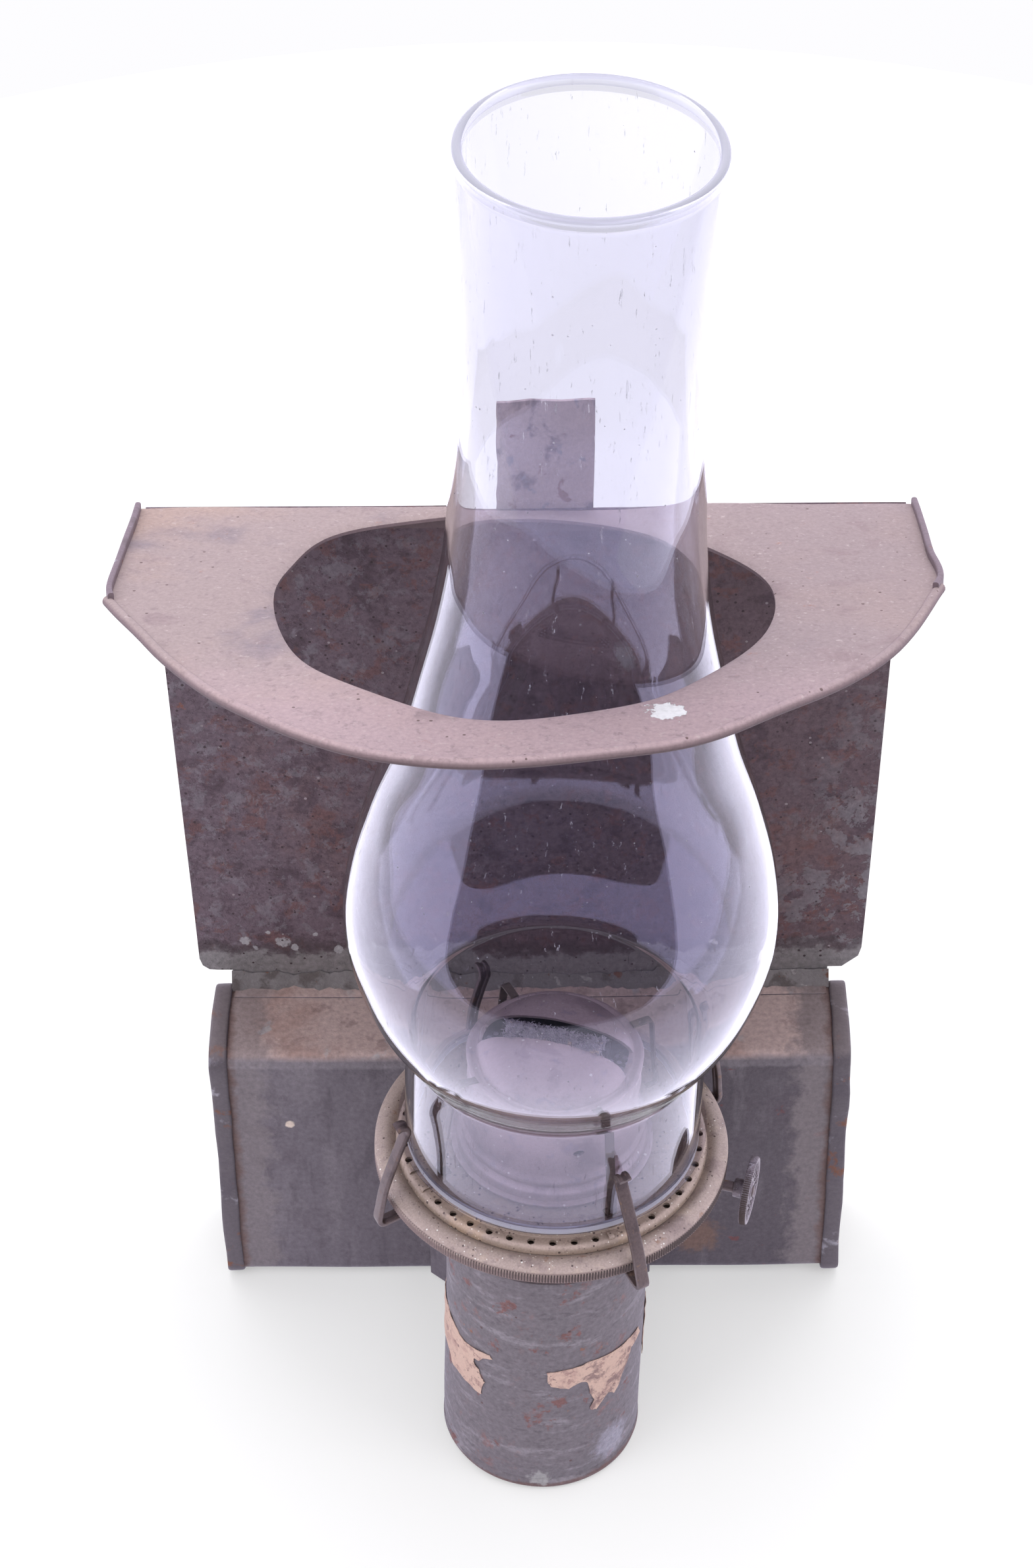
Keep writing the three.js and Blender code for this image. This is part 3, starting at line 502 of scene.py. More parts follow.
def back_plate_tin():
    f = Finish("rusted plate tin", (102, 84, 90), 0.74, 0.25)
    # Painted light: the left of the plate is painted lighter than its right, where the key lamp falls from the left.
    left = f.mask(BAND, 0, 0.3, 0.09, 0.04, (-1, 0, 0.1), 0.8)
    f.over(left, (110, 94, 104))
    f.lay((114, 86, 84), PATCHES, 46, 0.42, 0.16, (0.1, 0, 0.2), 0.6)
    f.lay((82, 66, 74), PATCHES, 13, 0.44, 0.1, (0.4, 0, 0.1), 0.75)
    f.lay((112, 78, 76), PATCHES, 6.5, 0.42, 0.07, (0.5, 0.2, 0.1), 0.65, 0.7)
    f.lay((78, 62, 68), PATCHES, 2.6, 0.44, 0.08, (0.3, 0.6, 0.1), 0.6, 0.7)
    scale = f.mask(PATCHES, 15, 0.5, 0.02, (0.7, 0.3, 0.6), 1, 0.78)
    f.lay((122, 115, 120), BAND, 0.012, 0.3, 0.04, 0.05, (1, 0, -0.35), rough=0.6, within=scale)
    # Pale patches kept to the left side, which is painted lighter above.
    f.lay((126, 118, 126), PATCHES, 8, 0.45, 0.05, (0.2, 0.9, 0.6), 0.7, 0.78, rough=0.62, within=left)
    f.lay((150, 98, 84), PATCHES, 11, 0.17, 0.05, (0.9, 0.1, 0.5), 0.8, 0.7, rough=0.85)
    f.lay((136, 130, 132), BAND, 0.09, 0.1035, 0.003, 0.012, rough=0.68)
    f.lay((80, 68, 72), BAND, 0.1035, 0.1075, 0.002, 0.016, (0, 0, 1), 0.7)
    for x, z, radius in ((-0.0825, 0.109, 0.0011), (-0.0795, 0.1065, 0.0008), (-0.0715, 0.1085, 0.0017),
                         (-0.068, 0.1065, 0.001), (-0.0555, 0.1055, 0.0012), (0.058, 0.107, 0.0012),
                         (-0.062, 0.1115, 0.0008), (-0.0755, 0.1125, 0.0007)):
        f.lay((178, 174, 178), SPOT, (x, 0.0755, z), radius, 3.4, 0.3, 0.8)
    f.lay((146, 134, 138), FLECKS, 4.5, 0.4, 0.35)
    f.lay((66, 52, 56), FLECKS, 2.2, 0.35, 0.3, (0.4, 0.1, 0.2))
    return f.mottle(1.6, 0.76, 1.22).grained(0.9, 0.22).relief(scale, 0.08).done()


def hood_tin():
    f = Finish("dusty hood tin", (168, 150, 150), 0.78, 0.12)
    f.lay((140, 128, 136), PATCHES, 36, 0.4, 0.16, (0.3, 0.2, 0), 0.85)
    f.lay((182, 156, 146), PATCHES, 60, 0.5, 0.2, (0.8, 0.5, 0.3), 0.7)
    f.lay((158, 141, 144), BAND, 0.01, 0.3, 0.05, 0.03, (1, 0, 0), 0.7)
    f.lay((184, 160, 165), BAND, 0.014, 0.2, 0.035, 0.03, (0, -1, 0), 0.8)
    f.lay((150, 130, 133), PATCHES, 14, 0.34, 0.12, (0.5, 0.9, 0.2), 0.65)
    f.lay((166, 122, 110), PATCHES, 8, 0.22, 0.07, (0.1, 0.7, 0.4), 0.55, 0.7, rough=0.85)
    f.lay((146, 128, 131), PATCHES, 2.6, 0.4, 0.12, (0.6, 0.6, 0.1), 0.65, 0.7)
    f.lay((194, 178, 179), PATCHES, 1.6, 0.3, 0.1, (0.2, 0.6, 0.7), 0.6)
    f.lay((112, 92, 92), FLECKS, 3.6, 0.35, 0.4)
    # Darker where the sheet turns from facing up; where it faces down, under the hem, it is painted near black-brown as
    # painted shade.
    f.over(f.upward(0.86, 0.4), (132, 112, 116), 0.7)
    f.over(f.upward(0.3, -0.2), (92, 74, 78))
    chip = f.mask(SPOT, (0.0325, -0.0505, 0.302), 0.0042, 2.6, 0.08)
    f.over(chip, (243, 242, 244), 0.5).relief(chip, 0.25)
    return f.mottle(1.1, 0.88, 1.1).grained(0.8, 0.14).done()


def hood_under_tin():
    f = Finish("sooty hood underside", (92, 75, 80), 0.8, 0.2)
    f.lay((102, 80, 76), PATCHES, 20, 0.5, 0.15)
    f.lay((112, 104, 104), PATCHES, 6, 0.35, 0.08, (0.2, 0.2, 0.2))
    return f.mottle(1.2, 0.88, 1.1).grained(1.0, 0.15).done()


def hem_tin(name, colour):
    f = Finish(name, colour, 0.62, 0.35)
    f.lay((106, 92, 94), PATCHES, 12, 0.5, 0.12, NO_SHIFT, 0.8)
    f.lay((140, 98, 82), PATCHES, 7, 0.28, 0.07, (0.5, 0.1, 0.1), 0.8, rough=0.85)
    f.lay((150, 146, 152), PATCHES, 5, 0.26, 0.08, (0.2, 0.8, 0.1), rough=0.5)
    return f.mottle(1.0, 0.88, 1.12).grained(0.8, 0.12).done()


def tank_tin():
    f = Finish("weathered tank tin", (92, 84, 91), 0.7, 0.2)
    # Painted light: the left of the tank's front is painted lighter, where the key lamp falls from the left.
    f.lay((124, 116, 125), BAND, 0, 0.3, 0.08, 0.03, (-1, 0, 0), 0.7)
    f.lay((130, 122, 129), PATCHES, 9, 0.5, 0.2, NO_SHIFT, 0.6, 0.6, (1, 1, 0.2))
    f.lay((80, 72, 79), PATCHES, 6, 0.46, 0.14, (0.6, 0.1, 0.8), 0.55, 0.6, (1, 1, 0.25))
    f.lay((90, 80, 88), PATCHES, 24, 0.42, 0.14, (0.5, 0, 0.4), 0.6)
    f.lay((88, 79, 86), PATCHES, 4.5, 0.4, 0.1, (0.2, 0.4, 0.4), 0.4, 0.7)
    redder = f.mask(BAND, 0.03, 0.3, 0.02, 0.03, (1, 0, 0.3))
    f.lay((124, 76, 76), PATCHES, 7, 0.2, 0.05, (0.15, 0.5, 0.2), 0.75, rough=0.85, within=redder)
    # Dust where the tank faces up, painted far paler than dust alone: painted light that makes up for the shade the
    # hood casts on the top.
    top = f.upward(0.5, 0.85)
    f.over(top, (192, 169, 165), 0.75)
    f.lay((174, 146, 139), PATCHES, 34, 0.5, 0.16, (0.9, 0.4, 0), rough=0.78, within=top)
    f.lay((138, 116, 114), PATCHES, 7, 0.4, 0.1, (0.9, 0.1, 0.3), 0.5, rough=0.78, within=top)
    f.lay((176, 168, 170), PATCHES, 12, 0.28, 0.08, (0.3, 0.1, 0), rough=0.55, within=top)
    for axis, strength in (((1, 0, 0), 0.75), ((-1, 0, 0), 0.6)):
        f.lay((128, 118, 120), BAND, 0.0745, 0.1, 0.004, 0.02, axis, strength, rough=0.6)
        f.lay((116, 90, 84), BAND, 0.0845, 0.1, 0.002, 0.006, axis, 0.75, rough=0.8)
    f.lay((140, 132, 138), BAND, 0.0885, 0.0915, 0.001, 0.002, (0, 0, 1), 0.45, rough=0.5)
    front = 0.0434
    for x, z, radius in ((-0.0215, 0.052, 0.0008), (-0.029, 0.0415, 0.0007), (-0.0245, 0.034, 0.001),
                         (-0.012, 0.0065, 0.001), (-0.07, 0.066, 0.0011)):
        f.lay((226, 208, 196), SPOT, (x, front, z), radius, 1.6, 0.4, 0.9)
    f.lay((150, 112, 88), SPOT, (0.049, front, 0.017), 0.0045, 2.4, 0.9, 0.45)
    return f.mottle(1.5, 0.8, 1.18).grained(0.9, 0.16).done()


def cap_tin():
    f = Finish("crimped cap tin", (96, 88, 94), 0.66, 0.2)
    f.lay((84, 76, 84), PATCHES, 18, 0.5, 0.15, NO_SHIFT, 0.7)
    f.lay((142, 137, 146), PATCHES, 10, 0.3, 0.09, (0.4, 0.2, 0.7), rough=0.45)
    f.lay((130, 88, 72), PATCHES, 9, 0.3, 0.07, (0.8, 0.6, 0.2), 0.9, rough=0.85)
    f.over(f.upward(0.6, 0.9, 0.5), (136, 124, 124))
    return f.mottle(1.2, 0.88, 1.12).grained(0.8, 0.12).done()


def can_tin():
    f = Finish("can tin", (116, 108, 115), 0.7, 0.15)
    f.lay((110, 104, 110), PATCHES, 24, 0.5, 0.18, (0, 0.3, 0.3), 0.7)
    f.lay((146, 139, 147), PATCHES, 7, 0.44, 0.14, NO_SHIFT, 0.7, 0.6, (0.5, 0.5, 1.7))
    f.lay((94, 87, 93), PATCHES, 2.6, 0.42, 0.1, (0.4, 0.4, 0.3), 0.7, 0.7, (0.6, 0.6, 1.4))
    near = f.mask(PATCHES, 19, 0.46, 0.1, (0.3, 0.5, 0.1))
    f.lay((138, 104, 104), PATCHES, 3.6, 0.44, 0.1, (0.1, 0.2, 0.9), 0.7, 0.7, rough=0.8, within=near)
    f.lay((130, 90, 88), PATCHES, 9, 0.3, 0.05, (0.33, 0.15, 0.62), 0.85, 0.72, rough=0.85)
    f.lay((152, 108, 92), PATCHES, 4.6, 0.18, 0.05, (0.7, 0.2, 0.1), 1, 0.7, rough=0.88)
    f.lay((168, 162, 168), PATCHES, 3, 0.2, 0.08, (0.9, 0.8, 0.1), 0.5, 0.75, (0.6, 0.6, 1.3), rough=0.5)
    f.lay((110, 80, 74), BAND, 0, 0.0022, 0.001, 0.003, (0, 0, 1), 0.7, rough=0.85)
    f.lay((160, 156, 174), SPOT, (0.0245, -0.031, 0.012), 0.0045, 2.4, 0.9, 0.6, rough=0.45)
    f.lay((172, 170, 170), SPOT, (0.002, -0.0376, 0.005), 0.0022, 3.4, 0.6, 0.6, rough=0.5)
    f.lay((92, 72, 74), FLECKS, 5, 0.45, 0.3, (0.3, 0, 0.1))
    return f.mottle(1.3, 0.76, 1.2).grained(0.8, 0.18).done()


def aged_paper():
    f = Finish("aged label paper", (219, 187, 176), 0.9)
    f.lay((196, 160, 154), PATCHES, 5, 0.44, 0.12, NO_SHIFT, 0.75)
    f.lay((164, 130, 128), PATCHES, 4.2, 0.42, 0.1, (0.2, 0.4, 0.4), 0.8, 0.7)
    right = f.mask(BAND, 0.004, 0.1, 0.008, 0.01, (1, 0, 0))
    f.lay((138, 112, 114), PATCHES, 6, 0.56, 0.12, (0.6, 0.1, 0.4), 0.85, 0.7, within=right)
    f.lay((122, 92, 98), PATCHES, 1.4, 0.26, 0.06, (0.7, 0.4, 0.1), 0.8)
    return f.mottle(0.6, 0.92, 1.06).grained(0.5, 0.06).done()


def gallery_brass():
    f = Finish("aged gallery brass", (178, 160, 152), 0.55, 0.3)
    f.lay((140, 122, 120), PATCHES, 15, 0.46, 0.15, NO_SHIFT, 0.75)
    f.lay((190, 171, 158), PATCHES, 5, 0.4, 0.12, (0.5, 0.5, 0.1), 0.6)
    f.lay((130, 114, 114), PATCHES, 1.6, 0.4, 0.1, (0.1, 0.9, 0.4), 0.55, 0.7)
    f.lay((150, 112, 92), PATCHES, 6, 0.2, 0.06, (0.9, 0.9, 0.1), 0.6, rough=0.7)
    sparse = f.mask(PATCHES, 12, 0.62, 0.1, (0.3, 0.8, 0))
    f.lay((238, 236, 230), FLECKS, 0.72, 0.2, 0.22, rough=0.3, within=sparse)
    f.lay((98, 82, 80), FLECKS, 1.3, 0.26, 0.3, (0.4, 0.4, 0))
    f.over(f.upward(0.45, 0.1), (138, 118, 116), 0.6)
    return f.mottle(0.5, 0.84, 1.14).grained(0.4, 0.1).done()


def dirty_groove():
    return Finish("dirt in the knurl", (86, 74, 74), 0.8, 0.2).mottle(0.5, 0.8, 1.2).grained(0.4, 0.08).done()


def seat_brass():
    f = Finish("stained seat brass", (172, 153, 141), 0.52, 0.35)
    f.lay((178, 158, 146), PATCHES, 7, 0.5, 0.12, NO_SHIFT, 0.8)
    f.lay((124, 106, 102), PATCHES, 2.4, 0.38, 0.1, (0.3, 0.3, 0.3), 0.7, 0.7)
    f.lay((186, 162, 142), PATCHES, 13, 0.34, 0.08, (0.7, 0.1, 0.3), 0.8)
    f.lay((98, 82, 78), FLECKS, 1.1, 0.3, 0.3)
    f.lay((222, 212, 200), FLECKS, 0.9, 0.2, 0.2, (0.1, 0.6, 0.2), rough=0.35)
    return f.mottle(0.6, 0.85, 1.12).grained(0.45, 0.1).done()


def inner_brass():
    f = Finish("burner cap brass", (186, 165, 164), 0.45, 0.4)
    f.lay((156, 136, 138), PATCHES, 12, 0.5, 0.16, NO_SHIFT, 0.75)
    f.lay((146, 136, 150), PATCHES, 4, 0.35, 0.12, (0.4, 0, 0.9), 0.5)
    f.lay((222, 214, 206), FLECKS, 1.8, 0.32, 0.2)
    return f.mottle(0.8, 0.9, 1.1).grained(0.5, 0.07).done()


def spring_iron():
    f = Finish("dark spring iron", (96, 82, 82), 0.48, 0.5)
    f.lay((76, 64, 66), PATCHES, 6, 0.5, 0.12, NO_SHIFT, 0.8)
    f.lay((122, 100, 90), PATCHES, 3, 0.34, 0.08, (0.6, 0.1, 0.1), rough=0.7)
    return f.mottle(0.7, 0.86, 1.16).grained(0.4, 0.06).done()


def clip_brass():
    f = Finish("browned clip brass", (112, 98, 88), 0.55, 0.4)
    f.lay((134, 118, 102), PATCHES, 4, 0.45, 0.12)
    return f.mottle(0.6, 0.85, 1.12).grained(0.4, 0.06).done()


def wheel_metal():
    f = Finish("pressed wheel metal", (128, 118, 124), 0.5, 0.5)
    f.lay((98, 88, 96), PATCHES, 2, 0.45, 0.1, NO_SHIFT, 0.8)
    f.lay((156, 150, 158), PATCHES, 1.1, 0.34, 0.08, (0.2, 0.2, 0.5), rough=0.35)
    return f.mottle(0.5, 0.84, 1.14).grained(0.35, 0.08).done()


def solder_metal():
    f = Finish("old solder", (116, 110, 108), 0.6, 0.35)
    f.lay((96, 88, 86), PATCHES, 8, 0.5, 0.12, rough=0.75)
    f.lay((150, 144, 140), PATCHES, 5, 0.3, 0.07, (0.2, 0.6, 0.2), rough=0.5)
    f.lay((118, 84, 72), PATCHES, 6, 0.24, 0.06, (0.7, 0.2, 0.2), rough=0.85)
    return f.mottle(1.0, 0.86, 1.12).grained(0.8, 0.18).done()


def charred_cotton():
    f = Finish("charred cotton", (172, 162, 170), 0.95)
    f.lay((122, 112, 122), PATCHES, 3.2, 0.46, 0.1)
    f.lay((204, 196, 200), PATCHES, 1.4, 0.4, 0.1, (0.3, 0.3, 0.3))
    f.lay((218, 190, 166), PATCHES, 4, 0.3, 0.08, (0.8, 0.3, 0.3))
    weave = f.add("TexWave", {"Vector": f.here(), "Scale": 700.0}).outputs[0]
    return f.relief(weave, 0.1).mottle(0.5, 0.78, 1.15).done()


def lamp_soot():
    f = Finish("soot inside the burner", (38, 32, 37), 0.85, 0.1)
    f.lay((54, 47, 54), PATCHES, 3, 0.45, 0.1)
    return f.mottle(0.6, 0.8, 1.15).grained(0.5, 0.08).done()


def pale_lint():
    return Finish("lint in the holes", (206, 198, 214), 0.9).mottle(0.4, 0.85, 1.05).grained(0.4, 0.08).done()


def clear_glass(name, rough, colour=(0.82, 0.815, 0.885, 1), through=1.0):
    f = Finish(name, colour, rough)
    smudge = f.mask(PATCHES, 22, 0.34, 0.2, NO_SHIFT, 0.02, 0.6, (1, 1, 0.4))
    specks = f.mask(FLECKS, 3.2, 0.2, 0.2)
    f.roughness = f.plus(f.plus(rough, smudge), f.times(specks, 0.7))
    scratched = f.mask(PATCHES, 9, 0.2, 0.02, NO_SHIFT, 1, 0.8, (6, 6, 0.8))
    swirl = f.add("TexNoise", {"Vector": f.here(), "Scale": 22.0, "Detail": 1.0}).outputs[0]
    f.relief(scratched, 0.02).relief(swirl, 0.12)
    f.shader.inputs["Specular Tint"].default_value = (0.84, 0.82, 1.0, 1)
    f.shader.inputs["Transmission Weight"].default_value = through
    f.shader.inputs["IOR"].default_value = 1.56
    return f.done()


# ---- tank and bracket

def tank_loop(inset, x):
    """Points round the tank's section, moved in from the outside of the end caps."""
    half, low, high, radius = 17 - inset, inset, 94 - inset, max(5.1 - inset, 0.6)
    corners = [(half - radius, high - radius), (radius - half, high - radius),
               (radius - half, low + radius), (half - radius, low + radius)]

    def on_corner(i, angle):
        y, z = corners[i % 4]
        return Vector((x, y + radius * cos(angle), z + radius * sin(angle)))
    loop = []
    for i in range(4):
        loop += [on_corner(i, pi / 2 * (i + k / 6)) for k in range(7)]
        end = on_corner(i + 1, pi / 2 * (i + 1))
        steps = 16 if i % 2 else 7
        loop += [loop[-1].lerp(end, k / steps) for k in range(1, steps)]
    return loop


def make_tank(tin, rim_tin):
    wrap = tube([tank_loop(WRAP_INSET, -88.9 + 177.8 * i / 60) for i in range(61)])
    lap = eased([(-16.35, 88.6), (-16.35, 93.3), (-9, 93.3), (-9, 92.7), (-15.6, 92.7), (-15.6, 88.6)], 1.6, 4)
    seam = swept([(x, 0, 0) for x in range(-86, 87, 4)], [(z, y) for y, z in lap], (0, 0, 1))
    tank = piece("tank_wrap", gathered(wrap, seam), tin, "bracket", ["tank_body"], BRACKET)
    dented(tank, 0.55, 38, 2)
    rim = [(16.4, 2.1), (9, 2.1), (2.6, 2.15), (1.7, 1.8), (1.2, 1.0), (0.9, 0.35), (0.55, 0.05), (0.2, 0.25),
           (0.02, 0.8), (0, 2.4), (0.03, 4.2), (0.15, 4.8), (0.5, 5.1), (0.9, 5.05), (1.05, 4.7), (1.7, 4.6),
           (2.6, 3), (9, 2.95), (16.4, 2.95)]
    for name, side in (("left", -1), ("right", 1)):
        form = tube([tank_loop(inset, side * (CAP_FACE - x)) for inset, x in rim])
        cap = piece(f"tank_cap_{name}", form, rim_tin, "bracket", [f"tank_{name}_end"], BRACKET, 50)
        dented(cap, 0.45, 13, 5 + side)


def make_plate(tin, rough_tin, solder):
    def sheet(outline, spacing):
        return thickened(netted(outline, spacing), lambda p: p + Vector((0, 0, TIN)))

    outline = [(-86.7, 78.9), (86.7, 78.9), (86.7, 97.4), (90.8, 97.4), (95.4, 101.6), (96.2, 105), (99.5, 265.9),
               (-99.5, 265.9), (-96.1, 102), (-95.3, 99.2), (-93.4, 97.6), (-91, 97.4), (-86.7, 97.4)]
    upright = BRACKET @ shift(0, 17) @ turn(90, "X")
    plate = piece("plate_sheet", sheet(outline, 7.5), tin, "bracket", ["back_plate"], upright)
    dented(plate, 0.5, 45, 9, keep=(0.3, 0.9, 0.3))
    chance = random.Random(4)
    left = [(-12.5 + chance.uniform(-0.5, 0.5), 299.4 - 3.2 * k) for k in range(17)]
    outline = [(18.3, 244), (18.5, 270), (18.7, 300.2), (17, 300.35), (9, 299.9), (-1, 300.3), (-8, 299.5),
               *left, (-12.5, 244)]
    rear = BRACKET @ shift(0, 18.1) @ turn(90, "X")
    tab = piece("hanging_sheet", sheet(outline, 5), rough_tin, "bracket", ["hanging_tab"], rear)
    dented(tab, 0.4, 16, 3, keep=(0.5, 0.6, 0.2))
    rows = []
    for i in range(117):
        x = -87 + 174 * i / 116
        swell = 1 + 0.55 * wave(x * 0.11, 3, 0) + 0.3 * wave(x * 0.4, 9, 0)
        foot, leg, height = 3.0 * swell, 3.4 * swell, 1.3 * swell
        rows.append([(x, 15.9, 93.15), (x, 15.9, 93.2 + leg), (x, 15.6, 93.2 + leg * 0.9),
                     (x, 15.2 - height * 0.3, 94 + height), (x, 15.9 - foot * 0.7, 93.5 + height * 0.35),
                     (x, 15.9 - foot * 1.2, 93.2)])
    piece("foot_solder_bead", tube(rows), solder, "bracket", ["foot_solder"], BRACKET, 70)


HOOD_FRONT = [(-103.1, 61.2), (-85.7, 97.7), (-62.5, 130.3), (-35.1, 152), (0, 156.6), (35.1, 146.8), (62, 125.6),
              (86.8, 97.3), (103.0, 56.5)]
HOOD_HOLE = [(-62, 62.8), (-59.5, 40.7), (-49.6, 18.6), (-26, 6.9), (0, 4.3), (26, 10.8), (48.4, 29), (60.8, 53.7),
             (58.9, 81), (47.1, 102.5), (27.9, 123.9), (3.7, 133), (-18.6, 129.8), (-42.2, 112.2), (-55.8, 92.7)]


def crossing(loop, centre, angle):
    """Where a ray from the centre meets a closed line."""
    ray = Vector((cos(angle), sin(angle)))
    best = None
    for a, b in zip(loop, loop[1:] + loop[:1]):
        edge = b - a
        denominator = ray.x * edge.y - ray.y * edge.x
        if abs(denominator) < 1e-9:
            continue
        gap = a - centre
        along = (gap.x * edge.y - gap.y * edge.x) / denominator
        share = (gap.x * ray.y - gap.y * ray.x) / denominator
        if along > 0 and -1e-6 <= share <= 1 + 1e-6 and (best is None or along < best):
            best = along
    return centre + ray * best


def make_hood(top_tin, under_tin, edge_tin):
    def sag(p):
        return 0.7 * wave(p.x / 33, p.y / 33, 4)

    front = flowing(HOOD_FRONT, 10)
    outer = front + [Vector((101.6, 0)), Vector((-101.7, 0))]
    hole = flowing(HOOD_HOLE, 8, True)
    centre = Vector((0, HOOD_MIDDLE))
    angles = [2 * pi * i / 220 for i in range(220)]
    angles += [atan2(p.y - HOOD_MIDDLE, p.x) % (2 * pi) for p in (outer[-1], outer[-2], front[0], front[-1])]
    rows = []
    for angle in sorted(angles):
        inside, outside = crossing(hole, centre, angle), crossing(outer, centre, angle)
        row = []
        for k in (0, 0.02, 0.05, 0.1, 0.2, 0.35, 0.5, 0.65, 0.8, 0.92, 1):
            p = inside.lerp(outside, k)
            lip = -0.9 * exp(-((p - inside).length / 1.3))
            row.append((p.x, -p.y, lip + 0.4 + sag(p)))
        rows.append(row)
    sheet = thickened(skin(rows, True), lambda p: p - Vector((0, 0, 0.85)), under=1)
    round_hem = [(1.45 * cos(pi * k / 7) - 0.25, 1.4 * sin(pi * k / 7)) for k in range(14)]
    hem = swept([(p.x, -p.y, sag(p)) for p in front], round_hem, (0, 0, 1))
    left = [(-101.4, 0.6), (-102, 22), (-102.6, 42), (-103, 57), (-102, 63)]
    right = [(101.3, 0.6), (101.9, 20), (102.3, 36), (103.2, 44), (103.6, 49), (103.3, 54), (101.6, 59.5)]
    wall = eased([(-1.2, -0.75), (2.5, -0.8), (2.5, 0.8), (-1.2, 0.75)], 0.75, 4)
    rims = [swept([(p.x, -p.y, 0) for p in flowing(line, 8)], wall, (0, 0, 1), tag=2) for line in (left, right)]
    flange = moved(bar((-98.6, -TIN, -6), (98.6, 0, 0.3)), turn(HOOD_TILT, "X"))
    hood = piece("hood_sheet", gathered(sheet, hem, *rims, flange), [top_tin, under_tin, edge_tin],
                 "bracket", ["hood_plate"], HOOD, 50)
    dented(hood, 0.35, 24, 12)


# ---- can, label and what shows of its neck

# Outlines of what is left of the label: degrees round the can, and height
LABELS = {
    "left": [(-192, 53.5), (-180, 53.6), (-169.9, 53.2), (-155.8, 51.6), (-148.6, 50.4), (-142.7, 50.2),
             (-137.6, 50.6), (-128.8, 51.9), (-123.2, 52.1), (-121, 51.3), (-127.9, 49.3), (-130.3, 47.4),
             (-133.8, 47.2), (-134.6, 45.3), (-130.7, 43.5), (-128.3, 40.5), (-126.5, 39.5), (-129, 36.3),
             (-129.1, 33.5), (-131.5, 33.3), (-139, 34), (-147.9, 34.2), (-156.6, 35), (-162.7, 37.6),
             (-167.7, 38.8), (-180, 37), (-186, 42), (-195, 46)],
    "right": [(-89, 51), (-83.4, 51.2), (-74.3, 51.8), (-66.2, 52.4), (-55.8, 52.5), (-43.7, 51.9), (-32.8, 51.2),
              (-23.2, 50.6), (-19.8, 47.2), (-26.6, 46.3), (-32.2, 46.7), (-34.1, 43.7), (-38.2, 40.7),
              (-42.7, 35.8), (-46.2, 33.3), (-50.8, 35.1), (-52.9, 34.3), (-58.5, 30.7), (-62.3, 31.1),
              (-62.9, 32.4), (-60.4, 35.2), (-63.7, 39.1), (-64.7, 43.3), (-68.4, 45.1), (-73.2, 44.5),
              (-76.4, 43.5), (-81.7, 44.1), (-86.3, 45.3), (-88.4, 47.3)],
    "side": [(-7, 51.5), (0, 51.8), (9, 50), (14, 44), (7, 36), (3, 30), (-3, 28), (-5, 35), (-4, 43)],
}


def on_can(p):
    """Lays a point of the flat label on the can, a little lifted here and there."""
    lift = 0.32 + 0.28 * wave(p[0] * 0.3, p[1] * 0.3, 1)
    radius = CAN_RADIUS + lift
    return radius * cos(p[0] / CAN_RADIUS), radius * sin(p[0] / CAN_RADIUS), p[1]


def make_can(tin, paper, brass):
    wall = [(27.35, 1.2), *((27.35, z) for z in range(6, 84, 6)), (27.35, 86.4), (27.6, 87), (27.95, 86.9),
            (28.15, 86.3), (28.15, 83.6), (27.95, 83.1), (CAN_RADIUS, 82.4),
            *((CAN_RADIUS, z) for z in range(78, 6, -4)), (CAN_RADIUS, 4.2), (27.9, 3.6), (28.25, 2.9), (28.3, 1.2),
            (CAN_RADIUS, 0.35), (27.75, 0), (27.4, 0.3)]
    knocks = (0.4, 21, 7)
    dented(piece("can_shell", turned(wall, 144), tin, "bracket", ["can_body"]), *knocks)
    for name, outline in LABELS.items():
        flat = [(radians(a) * CAN_RADIUS, z) for a, z in outline]
        ragged = []
        for a, b in zip(flat, flat[1:] + flat[:1]):
            for k in range(3):
                t = k / 3
                push = 0.35 * wave(a[0] + t * 9, a[1] + k, 5)
                ragged.append((a[0] + (b[0] - a[0]) * t + push, a[1] + (b[1] - a[1]) * t + push))
        points, faces, tags = netted(ragged, 1.6)
        thick = thickened(([on_can(p) for p in points], faces, tags), lambda p: Vector((p.x * 0.994, p.y * 0.994, p.z)))
        dented(piece(f"label_scrap_{name}", thick, paper, "bracket"), *knocks)
    collar = eased([(16.5, 82.2), (17.8, 82.2), (17.8, 85.3), (20.4, 85.9), (20.4, 86.6), (17.9, 87), (18.3, 88.2),
                    (17.6, 89.4), (18.3, 90.6), (17.6, 91.8), (18.2, 93), (17.7, 93.8), (16.5, 93.8)], 0.35, 2)
    piece("collar_ring", turned(collar, 72), brass, "bracket", ["burner_collar"])


# ---- burner

def along_ring(form, radius, angle, height=0.0):
    """Carries a small form out along X and round Z to an angle in degrees."""
    return moved(form, turn(angle) @ shift(radius, 0, height))


def burner_piece(name, form, finishes, nodes=(), place=BURNER, crease=38):
    return piece(name, form, finishes, "burner", nodes, place, crease)


def apart(one, other):
    """The angle between two directions, in degrees."""
    return abs((one - other + 180) % 360 - 180)


def make_basket(brass):
    line = flowing([(16.3, 96.1), (19.5, 96.1), (33.2, 98.9), (41.1, 103.5), (45, 108.5), (46.7, 111.8),
                    (46.9, 113.8)], 5)
    inside = [(p.x - 0.25, p.y + 0.75) if p.y < 105 else (p.x - 0.8, p.y + 0.15) for p in line]
    profile = line + [p for p in reversed(inside) if p[1] < 113.7]
    bowl = burner_piece("basket_bowl", turned(profile, 144), brass, ["air_basket"])
    tools = []
    for radius, height, tilt, step in ((37.2, 101.2, 60, 0), (43.1, 106, 38, 0.5)):
        hole = moved(bore(1.05, -3, 3, 12), turn(180 - tilt, "Y"))
        angles = [360 * (i + step) / 32 for i in range(32)]
        tools += [along_ring(hole, radius, angle, height) for angle in angles if apart(angle, -WICK_ANGLE) >= 9]
    pierced(bowl, tools)
    pierced(bowl, [bore(3.4, 36, 54, 24)], SHAFT)


